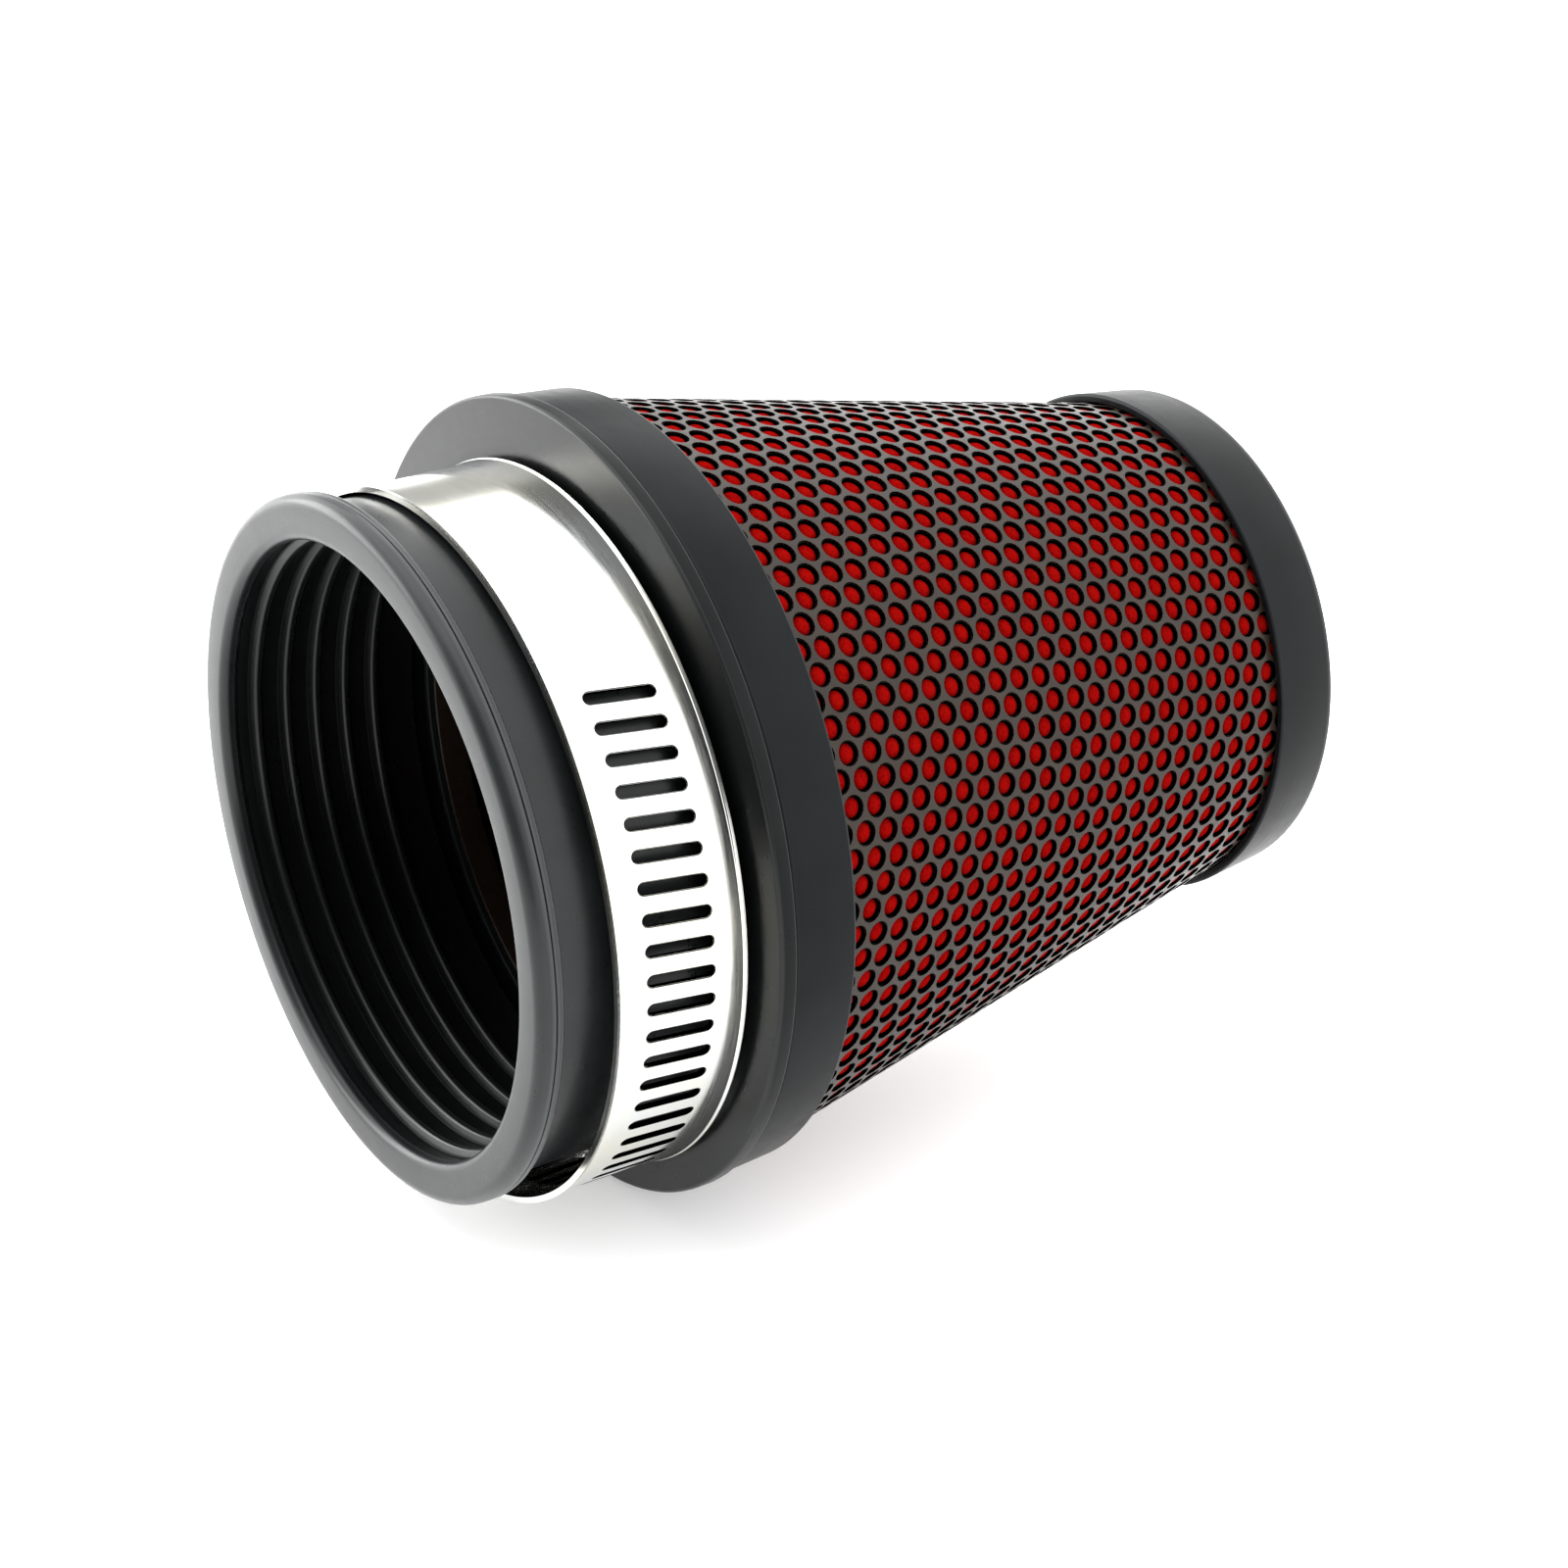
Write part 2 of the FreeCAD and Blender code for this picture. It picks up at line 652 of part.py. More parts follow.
def write(pieces):
    os.makedirs("parts", exist_ok=True)
    for piece in pieces:
        piece.Shape.exportStep(f"parts/{piece.Label}.step")
        box = piece.Shape.BoundBox
        print(f"{piece.Label:16s} {piece.Shape.Volume:9.1f} mm3  "
              f"X {box.XMin:6.2f} {box.XMax:6.2f}  Y {box.YMin:6.2f} {box.YMax:6.2f}  "
              f"Z {box.ZMin:6.2f} {box.ZMax:6.2f}")


made = build()
check(made)
write(made)
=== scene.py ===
"""Looks of a conical clamp-on air filter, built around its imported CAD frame.

Shapes are drawn in millimetres and become metres when a mesh is made. X runs along the filter's axis,
from the mouth of the rubber neck to the closed cap, and Z is up.
"""
import bmesh
import bpy
import json
import math
import numpy as np
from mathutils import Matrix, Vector, geometry


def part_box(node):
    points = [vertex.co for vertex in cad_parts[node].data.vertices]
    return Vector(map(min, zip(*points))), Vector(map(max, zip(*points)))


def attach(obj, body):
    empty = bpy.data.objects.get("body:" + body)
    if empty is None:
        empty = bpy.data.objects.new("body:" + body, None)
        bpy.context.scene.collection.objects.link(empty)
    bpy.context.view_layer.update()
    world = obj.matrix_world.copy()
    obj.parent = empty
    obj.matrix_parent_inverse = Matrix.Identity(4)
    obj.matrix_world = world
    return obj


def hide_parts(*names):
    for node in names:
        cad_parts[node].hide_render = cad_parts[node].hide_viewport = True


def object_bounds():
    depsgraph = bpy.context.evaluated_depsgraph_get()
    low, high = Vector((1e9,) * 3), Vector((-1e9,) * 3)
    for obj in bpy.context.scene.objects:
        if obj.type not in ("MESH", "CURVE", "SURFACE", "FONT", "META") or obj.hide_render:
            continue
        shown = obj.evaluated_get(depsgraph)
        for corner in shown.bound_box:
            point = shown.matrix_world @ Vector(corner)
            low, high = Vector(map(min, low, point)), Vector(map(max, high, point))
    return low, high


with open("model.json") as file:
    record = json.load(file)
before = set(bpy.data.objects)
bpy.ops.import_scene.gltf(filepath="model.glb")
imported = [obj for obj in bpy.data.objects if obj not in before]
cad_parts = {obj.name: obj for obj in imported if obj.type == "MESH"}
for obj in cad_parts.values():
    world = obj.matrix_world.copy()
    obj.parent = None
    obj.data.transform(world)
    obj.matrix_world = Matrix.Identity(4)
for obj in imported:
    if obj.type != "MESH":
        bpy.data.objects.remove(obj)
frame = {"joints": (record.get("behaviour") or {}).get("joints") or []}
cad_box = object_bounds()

MM = 0.001
X_AXIS = Vector((1, 0, 0))
SEGMENTS = 256
ARC_STEPS = 7
SHARP_ANGLE = math.radians(32)
SMALL_STEP = 0.01
MERGE_DISTANCE = 1e-5
FINE_ROUND = 0.15
EDGE_ROUND = 0.2

# rubber neck
MOUTH_RADIUS = 31.4
MOUTH_LAND = 1.4
MOUTH_TAPER = 0.6
MOUTH_ROUND = 0.95
LAND_ROUND = 0.3
BORE_RADIUS = 31.9
RIB_RADIUS = 31.0
RIB_FIRST = 4.0
RIB_PITCH = 3.39
RIB_COUNT = 5
RIB_CREST = 0.6
RIB_CREST_ROUND = 0.4
RIB_FOOT = 1.5
RIB_FOOT_ROUND = 0.35
LIP_RADIUS = 35.9
LIP_LENGTH = 2.8
LIP_ROUND = 1.25
LIP_GROOVE = 1.75
GROOVE_WIDTH = 0.2
GROOVE_DEPTH = 0.16
GROOVE_EDGE_ROUND = 0.06
GROOVE_FLOOR_ROUND = 0.04
NECK_RADIUS = 34.3
NECK_ROUND = 0.5
FLANGE_FRONT = 22.5
FLANGE_RADIUS = 41.4
FLANGE_ROUND = 0.4
FLANGE_REAR_ROUND = 0.3
RELIEF_RADIUS = 32.6

# base ring, collar and cap
RING_BORE = 31.95
RING_FRONT_RADIUS = 41.0
RING_FRONT_ROUND = 0.5
RING_REAR_RADIUS = 40.5
RING_REAR_ROUND = 0.4
RING_LIP_ROUND = 0.12
COLLAR_WALL = 0.55
CAP_FRONT_RADIUS = 28.05
CAP_SKIRT_ROUND = 0.3
CAP_END_RADIUS = 27.1
CAP_ROUND = 1.6
CAP_RECESS_RADIUS = 21.5
CAP_RECESS_DEPTH = 0.6
CAP_RECESS_SLOPE = 0.5
CAP_RECESS_ROUND = 0.4
CAP_WEB = 97.6

# nested cones of the filter element, which share one slope
CONE_APEX = 229.9
CONE_SLOPE = 0.1989
CONE_HALF = math.atan(CONE_SLOPE)
SHEET_THICKNESS = 0.8
INNER_THICKNESS = 0.7
SHEET_MIDDLE_ANGLE = math.radians(59.4)
BORDER_STEP = 2.0
FIT_GAP = 0.05
HOLE_PITCH = 2.943
HOLE_RADIUS = 1.15
HOLE_EDGE = 0.1
HOLE_MARGIN = HOLE_RADIUS + HOLE_EDGE + 0.25
HOLE_POINTS = 16
INNER_HOLE_POINTS = 10
ROW_LEAN = math.radians(-6.17)
LATTICE_START = np.array([174.143, -1.229])
LATTICE_REACH = 90
SEAM_GAP = 0.08
SEAM_LANES = (0.9, 1.8, 2.7, 3.6)
SEAM_STEP = 1.3
SEAM_START = 1.0
SEAM_END = 0.5
SEAM_CLEARANCE = HOLE_RADIUS + HOLE_EDGE + 0.35
FOAM_DEPTH = 7.5
FOAM_POINTS = 12
FOAM_SWELL = ((0.98, 0.66), (0.85, 0.42), (0.5, 0.22))
FOAM_CROWN = 0.16

# band of the hose clamp, about the clamp's own centre, with x from the middle of the band
BAND_WIDTH = 14.05
BAND_RADIUS = 36.2
BAND_EDGE_RADIUS = 36.5
BAND_EDGE_WIDTH = 1.9
BAND_THICKNESS = 0.6
BAND_JOINT = 0.02
STRIP_STEP = 0.9
EDGE_LANES = (0.25, 0.5, 0.75, 1.0)
MIDDLE_LANES = (-3.0, 0.0, 3.0)
SLOT_ANGLE = math.radians(4.8)
SLOT_LENGTH = 7.3
SLOT_WIDTH = 1.25
SLOT_RISE = 0.37
SLOT_EDGE = 0.09
SLOT_END_POINTS = 8
SLOT_CLEARANCE = 2.0
BAND_FIRST_SLOT = 35
BAND_SLOTS = 39
TAIL_RADIUS = 37.7
TAIL_START = math.radians(2.4)
TAIL_SWEEP = math.radians(36)
TAIL_SLOTS = 6
TAIL_ROUND = 3.0

# saddle and housing
HOUSING_LENGTH = 15.0
SADDLE_RADIUS = 37.05
SADDLE_THICKNESS = 0.5
SADDLE_ROUND = 1.0
SADDLE_EDGE = 0.05
SHEET_METAL = 0.55
SIDE_GAP = 0.06
LEG_BOTTOM = 35.65
SHOULDER = 37.85
SHOULDER_BEND = 0.5
THROAT = 4.18
THROAT_BEND = 0.6
BACK_STEPS = 24
END_WALL = 0.6
WALL_INSET = 0.01
HOUSING_BEVEL = 0.12
BEVEL_ANGLE = math.radians(40)

# worm screw, along its own z
SCREW_HEIGHT = 41.3
SCREW_SEGMENTS = 96
SCREW_END_GAP = 0.1
SCREW_END_TAPER = 0.5
SCREW_END_LENGTH = 0.3
CORE_RADIUS = 3.2
THREAD_RADIUS = 4.1
THREAD_MESH_DEPTH = 0.5
SLOTS_AROUND = 75
THREAD_PITCH = math.tau * (TAIL_RADIUS - THREAD_MESH_DEPTH) / SLOTS_AROUND
THREAD_PHASE = 1.75
THREAD_ROOT = 1.24
THREAD_CREST = 0.56
THREAD_STEP = 0.09
THREAD_RUN_OUT = 0.4
THREAD_LAST_ROW = 0.5
COLLAR_RADIUS = 4.3
COLLAR_LENGTH = 1.0
HEAD_FLATS = 7.9
HEAD_LENGTH = 6.0
HEAD_FOOT_RADIUS = 4.1
HEAD_RADIUS = 4.45
HEAD_FOOT_LENGTH = 0.25
CROWN_LENGTH = 0.8
CROWN_RADIUS = 3.55
CROWN_SWELL = 1.0
CROWN_STEPS = 8
DRIVER_SLOT = 1.3
DRIVER_SLOT_DEPTH = 1.8

# The clamp's own directions come from the frame: its centre, and the line that its screw turns on.
JOINTS = {joint["name"]: joint for joint in frame["joints"]}
CLAMP_CENTRE = Vector(JOINTS["clamp_turn"]["pos_m"]) / MM
SCREW_CENTRE = Vector(JOINTS["screw_turn"]["pos_m"]) / MM
SIDEWAYS = Vector(JOINTS["screw_turn"]["axis"])
OUTWARD = X_AXIS.cross(SIDEWAYS)

# finishes
RUBBER = {"colour": (0.010, 0.0115, 0.012), "roughness": 0.30, "grain_mm": 0.18, "grain_depth": 0.010,
          "worn_and_highlight": 0.6, "shine": 0.24}
RING = {"colour": (0.005, 0.006, 0.0065), "roughness": 0.34, "grain_mm": 0.14, "grain_depth": 0.008,
        "worn_and_highlight": 0.5, "shine": 0.06}
CAP = {"colour": (0.005, 0.0055, 0.006), "roughness": 0.36, "grain_mm": 0.14, "grain_depth": 0.008,
       "worn_and_highlight": 0.5, "shine": 0.08}
POTTING = {"colour": (0.009, 0.009, 0.009), "roughness": 0.3, "grain_mm": 1.5, "grain_depth": 0.05,
           "worn_and_highlight": 0.2, "shine": 0.3}
STEEL_COLOUR = (0.018, 0.0125, 0.009)
STEEL_SHINE = 0.15
BRIGHT_ZINC = {"colour": (0.58, 0.60, 0.62), "tint": (0.62, 0.61, 0.53), "roughness": 0.14, "streak": 0.25}
PRESSED_ZINC = {"colour": (0.27, 0.28, 0.29), "tint": (0.30, 0.28, 0.23), "roughness": 0.2, "streak": 0.15}
FOAM_COLOUR = (0.165, 0.0014, 0.0012)
CLOUD_MM = 9.0
DUST_MM = 0.35
DUST_PALER = 0.012
# Convex edges are painted paler: partly wear, partly a painted highlight.
WEAR_HIGHLIGHT_CURVES = (0.3, 1.6)
WEAR_HIGHLIGHT_PALER = 4.0
# Painted shade in creases: the gloss falls to a tenth across this range of inward curvature.
CREASE_SHADE_CURVES = (-0.7, -0.1)
MARKS_MM = 1000.0
# Painted shade on the neck: deep in its bore, and from the flange's front face back, the rubber is painted
# darker and less glossy; past the flange's front rim it is less glossy too.
SHADED_RADII = (32.6, 33.2)
SHADED_MOUTH = (0.6, 3.0)
SHADED_FLANGE = (FLANGE_FRONT - 1, FLANGE_FRONT - 0.3)
SHADED_RIM = (FLANGE_FRONT + 0.1, FLANGE_FRONT + 0.4)
PAINTED_SHADE_DARK = 0.7
PAINTED_SHADE_MATT = 0.2
RIM_MATT = 0.65
TINT_MM = 14.0
SCUFF_MM = 1.1
WAVE_MM = 9.0
PATCH_MM = 5.0
SPANGLE_MM = 1.3
PORE_MM = 0.42
MOTTLE_MM = 3.0
MOTTLE_PALER = (1.25, 2.0, 1.5)
FIBRE_MM = 0.15
# Painted shade on the foam, darker the deeper it lies in the screen's holes.
HOLE_SHADE_DARK = 0.2
HOLE_SHADE_MOST = 0.75
HOLE_SHADE_DEPTHS = (0.2, 0.6)
INNER_DEPTHS = (3.0, 5.0)
TABLE_CLOUD_MM = 120.0
TABLE_COLOURS = ((0.9, 0.9, 0.9), (0.93, 0.93, 0.93))
TABLE_REACH = 3.0
TABLE_GLOW = 0.28

# studio and camera
WORLD_BRIGHT = 3.2
FLAGS = (
    {"side": (-0.8, -0.6, 0.15), "from": 0.3, "full": 0.9, "strength": 0.15},
    {"side": (0.42, 0.88, 0.22), "from": 0.955, "full": 0.995, "strength": 0.7},
)
TOP_BOX = {"place": (-0.1, 0.15, 0.9), "target": (0.04, 0, 0), "size": (0.9, 0.9), "power": 3.0}
BACK_LEFT_BOX = {"place": (-0.45, 0.7, 0.22), "target": (0.02, 0, 0), "size": (0.8, 0.4), "power": 7.0}
CAMERA_AIM = Vector((0.03697, -0.01948, 0.0060))
CAMERA_DISTANCE = 0.3394
CAMERA_AZIMUTH = math.radians(-33.0)
CAMERA_ELEVATION = math.radians(26.4)
CAMERA_LENS = 79.4
SENSOR_WIDTH = 36.0
NEAR_CLIP = 0.01


def rounded(corners, closed=True):
    """The outline through (x, r, fillet) corners, with an arc of its fillet radius at each corner."""
    points = []
    count = len(corners)
    for i, (x, r, fillet) in enumerate(corners):
        here = Vector((x, r))
        if fillet == 0 or (not closed and i in (0, count - 1)):
            points.append((x, r))
            continue
        before = (Vector(corners[i - 1][:2]) - here).normalized()
        after = (Vector(corners[(i + 1) % count][:2]) - here).normalized()
        half = before.angle(after) / 2
        centre = here + (before + after).normalized() * fillet / math.sin(half)
        reach = fillet / math.tan(half)
        start = here + before * reach - centre
        end = here + after * reach - centre
        first = math.atan2(start.y, start.x)
        turn = (math.atan2(end.y, end.x) - first + math.pi) % math.tau - math.pi
        for step in range(ARC_STEPS + 1):
            angle = first + turn * step / ARC_STEPS
            points.append((centre.x + fillet * math.cos(angle), centre.y + fillet * math.sin(angle)))
    return points


def new_object(name, data):
    """A new object in the scene."""
    thing = bpy.data.objects.new(name, data)
    bpy.context.scene.collection.objects.link(thing)
    return thing


def mesh_object(name, points, faces, loop_normals=None):
    """A new object from points in millimetres, shaded smooth except at sharp corners."""
    mesh = bpy.data.meshes.new(name)
    mesh.from_pydata((np.asarray(points, float) * MM).tolist(), [], faces)
    mesh.shade_smooth()
    if loop_normals is None:
        mesh.set_sharp_from_angle(angle=SHARP_ANGLE)
        mark_edges(mesh)
    else:
        mesh.normals_split_custom_set(loop_normals)
    return new_object(name, mesh)


def mark_edges(mesh):
    """Stores each vertex's mean curvature, in 1/mm, as "edge": above 0 on corners, below 0 in creases."""
    count = len(mesh.vertices)
    points, normals = np.empty(3 * count), np.empty(3 * count)
    mesh.vertices.foreach_get("co", points)
    mesh.vertex_normals.foreach_get("vector", normals)
    points, normals = points.reshape(-1, 3) / MM, normals.reshape(-1, 3)
    ends = np.empty(2 * len(mesh.edges), int)
    mesh.edges.foreach_get("vertices", ends)
    first, second = ends.reshape(-1, 2).T
    bend, share = np.zeros(count), np.zeros(count)
    for here, there in ((first, second), (second, first)):
        reach = points[here] - points[there]
        curve = 2 * (normals[here] * reach).sum(1) / ((reach ** 2).sum(1) + 1e-6)
        np.add.at(bend, here, curve)
        np.add.at(share, here, 1)
    attribute = mesh.attributes.new("edge", "FLOAT", "POINT")
    attribute.data.foreach_set("value", (bend / np.maximum(share, 1)).astype(np.float32))


def lathe(name, outline, closed=True):
    """A solid whose (x, r) outline turns about the X axis. An open outline ends on the axis."""
    points, rows = [], []
    turns = np.arange(SEGMENTS) * math.tau / SEGMENTS
    for x, r in outline:
        if r < FIT_GAP:
            rows.append([len(points)] * SEGMENTS)
            points.append((x, 0, 0))
            continue
        rows.append(list(range(len(points), len(points) + SEGMENTS)))
        points += [(x, r * math.cos(t), r * math.sin(t)) for t in turns]
    return mesh_object(name, points, row_faces(rows, rows[1:] + rows[:1] if closed else rows[1:]))


def row_faces(rows, others):
    """Faces between pairs of rows of points, with three corners where a row is a single point."""
    faces = []
    for near, far in zip(rows, others):
        for a, b, c, d in zip(near, near[1:] + near[:1], far[1:] + far[:1], far):
            faces.append(list(dict.fromkeys((a, b, c, d))))
    return faces


def cone_radius(x, depth=0.0):
    """Radius at station x of the cone that lies depth inside the outer screen."""
    return (CONE_APEX - x) * CONE_SLOPE - depth


def neck():
    """The rubber neck: grip lip, sealing ribs with round crests, and the rear flange."""
    low, high = (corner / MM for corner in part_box("neck_moulding"))
    outside = [
        (low.x, MOUTH_RADIUS, MOUTH_ROUND), (low.x, LIP_RADIUS, LIP_ROUND), *lip_groove(),
        (LIP_LENGTH, LIP_RADIUS, NECK_ROUND), (LIP_LENGTH, NECK_RADIUS, NECK_ROUND),
        (FLANGE_FRONT, NECK_RADIUS, NECK_ROUND), (FLANGE_FRONT, FLANGE_RADIUS, FLANGE_ROUND),
        (high.x, FLANGE_RADIUS, FLANGE_REAR_ROUND), (high.x, RELIEF_RADIUS, 0),
        (FLANGE_FRONT, RELIEF_RADIUS, FINE_ROUND), (FLANGE_FRONT, BORE_RADIUS, FINE_ROUND),
    ]
    ribs = [corner for i in reversed(range(RIB_COUNT)) for corner in rib(RIB_FIRST + i * RIB_PITCH)]
    land = [(MOUTH_LAND + MOUTH_TAPER, BORE_RADIUS, LAND_ROUND), (MOUTH_LAND, MOUTH_RADIUS, LAND_ROUND)]
    return lathe("rubber_neck", rounded(outside + ribs + land))


def lip_groove():
    """Corners of the fine parting groove that runs round the lip."""
    return [(LIP_GROOVE, LIP_RADIUS, GROOVE_EDGE_ROUND),
            (LIP_GROOVE + GROOVE_WIDTH / 2, LIP_RADIUS - GROOVE_DEPTH, GROOVE_FLOOR_ROUND),
            (LIP_GROOVE + GROOVE_WIDTH, LIP_RADIUS, GROOVE_EDGE_ROUND)]


def rib(middle):
    """Corners of one sealing rib in the bore, from its rear foot to its front foot."""
    return [(middle + RIB_FOOT / 2, BORE_RADIUS, RIB_FOOT_ROUND),
            (middle + RIB_CREST / 2, RIB_RADIUS, RIB_CREST_ROUND),
            (middle - RIB_CREST / 2, RIB_RADIUS, RIB_CREST_ROUND),
            (middle - RIB_FOOT / 2, BORE_RADIUS, RIB_FOOT_ROUND)]


def base_ring():
    """The stiff ring behind the flange, with a soft front edge and a thin wall over the screen."""
    low, high = (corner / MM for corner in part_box("base_ring"))
    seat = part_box("outer_screen")[0].x / MM
    return lathe("screen_base_ring", rounded([
        (low.x, RING_BORE, EDGE_ROUND), (low.x, RING_FRONT_RADIUS, RING_FRONT_ROUND),
        (high.x, RING_REAR_RADIUS, RING_REAR_ROUND), (high.x, cone_radius(high.x) + FIT_GAP, RING_LIP_ROUND),
        (seat, cone_radius(seat) + FIT_GAP, 0), (seat, RING_BORE, EDGE_ROUND),
    ]))


def inner_collar():
    """The thin steel collar in the base ring's bore."""
    low, high = (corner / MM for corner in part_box("inner_collar"))
    inside = RING_BORE - COLLAR_WALL
    return lathe("bore_collar", rounded([
        (low.x, inside, EDGE_ROUND), (low.x, RING_BORE, EDGE_ROUND),
        (high.x, RING_BORE, EDGE_ROUND), (high.x, inside, EDGE_ROUND),
    ]))


def end_cap():
    """The cap: a skirt over the screen's narrow end and a thick round-edged face, slightly dished."""
    low, high = (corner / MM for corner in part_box("end_cap"))
    floor = high.x - CAP_RECESS_DEPTH
    return lathe("black_end_cap", rounded([
        (CAP_WEB, 0, 0), (CAP_WEB, cone_radius(CAP_WEB) + FIT_GAP, 0),
        (low.x, cone_radius(low.x) + FIT_GAP, EDGE_ROUND), (low.x, CAP_FRONT_RADIUS, CAP_SKIRT_ROUND),
        (high.x, CAP_END_RADIUS, CAP_ROUND), (high.x, CAP_RECESS_RADIUS, CAP_RECESS_ROUND),
        (floor, CAP_RECESS_RADIUS - CAP_RECESS_SLOPE, CAP_RECESS_ROUND), (floor, 0, 0),
    ], closed=False), closed=False)


def plug(name, node, depth, rim):
    """A round disc that fills the cone at a node's stations, depth inside the outer screen."""
    low, high = (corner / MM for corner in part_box(node))
    return lathe(name, rounded([
        (low.x, 0, 0), (low.x, cone_radius(low.x, depth), rim),
        (high.x, cone_radius(high.x, depth), rim), (high.x, 0, 0),
    ], closed=False), closed=False)


def potting_ring():
    """The bead of potting that fills the base ring between the two screens."""
    low, high = (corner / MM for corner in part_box("base_potting"))
    return lathe("base_potting_bead", rounded([
        (low.x, cone_radius(low.x, FOAM_DEPTH), 0), (low.x, cone_radius(low.x, SHEET_THICKNESS), 0),
        (high.x, cone_radius(high.x, SHEET_THICKNESS), EDGE_ROUND),
        (high.x, cone_radius(high.x, FOAM_DEPTH), EDGE_ROUND),
    ]))


def hole_lattice(start_x, end_x, depth):
    """Centres of the sheet's holes on the flattened cone, clear of the sheet's edges."""
    steps = np.arange(-LATTICE_REACH, LATTICE_REACH + 1)
    i, j = (grid.reshape(-1, 1) for grid in np.meshgrid(steps, steps))
    along = HOLE_PITCH * np.array([math.cos(ROW_LEAN), math.sin(ROW_LEAN)])
    across = HOLE_PITCH * np.array([math.cos(ROW_LEAN + math.pi / 3), math.sin(ROW_LEAN + math.pi / 3)])
    centres = LATTICE_START + i * along + j * across
    slant = np.hypot(centres[:, 0], centres[:, 1])
    angle = np.arctan2(centres[:, 1], centres[:, 0])
    near, far = slant_length(end_x, depth) + HOLE_MARGIN, slant_length(start_x, depth) - HOLE_MARGIN
    edge = math.pi * math.sin(CONE_HALF)
    return centres[(slant > near) & (slant < far) & (abs(angle) < edge - HOLE_MARGIN / slant)]


def slant_length(x, depth):
    """Distance from the apex of the cone at that depth, along its surface, to station x."""
    return cone_radius(x, depth) / math.sin(CONE_HALF)


def cone_place(surface):
    """Maps points of the flattened cone, surface deep, and depths below it, into space."""
    apex = CONE_APEX - surface / CONE_SLOPE

    def place(flat, depth):
        slant = np.hypot(flat[:, 0], flat[:, 1])
        turn = SHEET_MIDDLE_ANGLE + np.arctan2(flat[:, 1], flat[:, 0]) / math.sin(CONE_HALF)
        radius = slant * math.sin(CONE_HALF) - depth * math.cos(CONE_HALF)
        x = apex - slant * math.cos(CONE_HALF) - depth * math.sin(CONE_HALF)
        return np.stack([x, -radius * np.sin(turn), radius * np.cos(turn)], 1)
    return place


def cone_border(start_x, end_x, depth):
    """The flattened cone's outline, a fan between two arcs, as a closed row of points."""
    near, far = slant_length(end_x, depth), slant_length(start_x, depth)
    edge = math.pi * math.sin(CONE_HALF) - SEAM_GAP / far
    angles = np.linspace(-edge, edge, int(2 * edge * far / BORDER_STEP))
    slants = np.linspace(far, near, int((far - near) / BORDER_STEP))
    side = np.array([math.cos(edge), math.sin(edge)])
    outer = far * np.stack([np.cos(angles), np.sin(angles)], 1)
    inner = near * np.stack([np.cos(angles[::-1]), np.sin(angles[::-1])], 1)
    up = slants[1:-1, None] * side
    down = slants[::-1][1:-1, None] * side * (1, -1)
    return np.concatenate([outer, up, inner, down])


def seam_points(start_x, end_x, depth, centres):
    """Points between the seam and the nearest holes, so that the bare metal there stays round."""
    near, far = slant_length(end_x, depth), slant_length(start_x, depth)
    edge = math.pi * math.sin(CONE_HALF)
    points = []
    for slant in np.arange(near + SEAM_START, far - SEAM_END, SEAM_STEP):
        for inset in SEAM_LANES:
            angle = edge - inset / slant
            points += [(slant * math.cos(angle), side * slant * math.sin(angle)) for side in (1, -1)]
    points = np.array(points)
    reach = np.linalg.norm(points[:, None] - centres[None], axis=2).min(1)
    return points[reach > SEAM_CLEARANCE]


def round_holes(centres, radius, points):
    """Anchors and outward directions of circles, one row of points for each hole."""
    angles = np.arange(points) * math.tau / points
    directions = np.broadcast_to(np.stack([np.cos(angles), np.sin(angles)], 1),
                                 (len(centres), points, 2))
    return np.broadcast_to(centres[:, None], directions.shape), directions, radius


def triangulate(border, rings, extra):
    """Triangles between the border and the rings. Points come back as rings, border, then extras."""
    flat = np.concatenate([rings.reshape(-1, 2), border, extra])
    count, size = rings.shape[:2]
    edges = [(k * size + q, k * size + (q + 1) % size) for k in range(count) for q in range(size)]
    base = count * size
    edges += [(base + q, base + (q + 1) % len(border)) for q in range(len(border))]
    result = geometry.delaunay_2d_cdt([Vector(p) for p in flat], edges, [], 1, MERGE_DISTANCE)
    source = np.array([origin[0] if origin else -1 for origin in result[3]])
    triangles = source[np.array(result[2])]
    hole = np.where(triangles < base, triangles // max(size, 1), -1 - triangles)
    covered = (hole[:, 0] == hole[:, 1]) & (hole[:, 1] == hole[:, 2]) & (triangles[:, 0] < base)
    return flat, triangles[~covered & (triangles >= 0).all(1)]


def unit(vectors):
    """The vectors, scaled to a length of 1."""
    return vectors / np.linalg.norm(vectors, axis=1, keepdims=True)


def pierced_sheet(name, border, holes, place, thickness, edge, extra=()):
    """A sheet with holes whose outer rims are eased, drawn flat and bent into shape by place."""
    anchors, directions, radius = holes
    extra = np.array(extra, float).reshape(-1, 2)
    flat, triangles = triangulate(border, anchors + directions * (radius + edge), extra)
    walls = (anchors + directions * radius).reshape(-1, 2)
    lower = np.concatenate([walls, flat[len(walls):]])
    points = np.concatenate([place(flat, 0.0), place(lower, thickness), place(walls, edge)])
    outward = unit(place(flat, 0.0) - place(flat, SMALL_STEP))
    into_hole = unit(place(walls - SMALL_STEP * directions.reshape(-1, 2), edge) - place(walls, edge))
    triangles, step = turned_out(points, triangles, outward)
    faces, normals = sheet_sides(triangles, outward)
    for more_faces, more_normals in (hole_walls(directions.shape[:2], step, outward, into_hole),
                                     rim_walls(len(walls), len(border), len(flat), step, points)):
        faces += more_faces
        normals += more_normals
    return mesh_object(name, points, faces, unit(np.array(normals)))


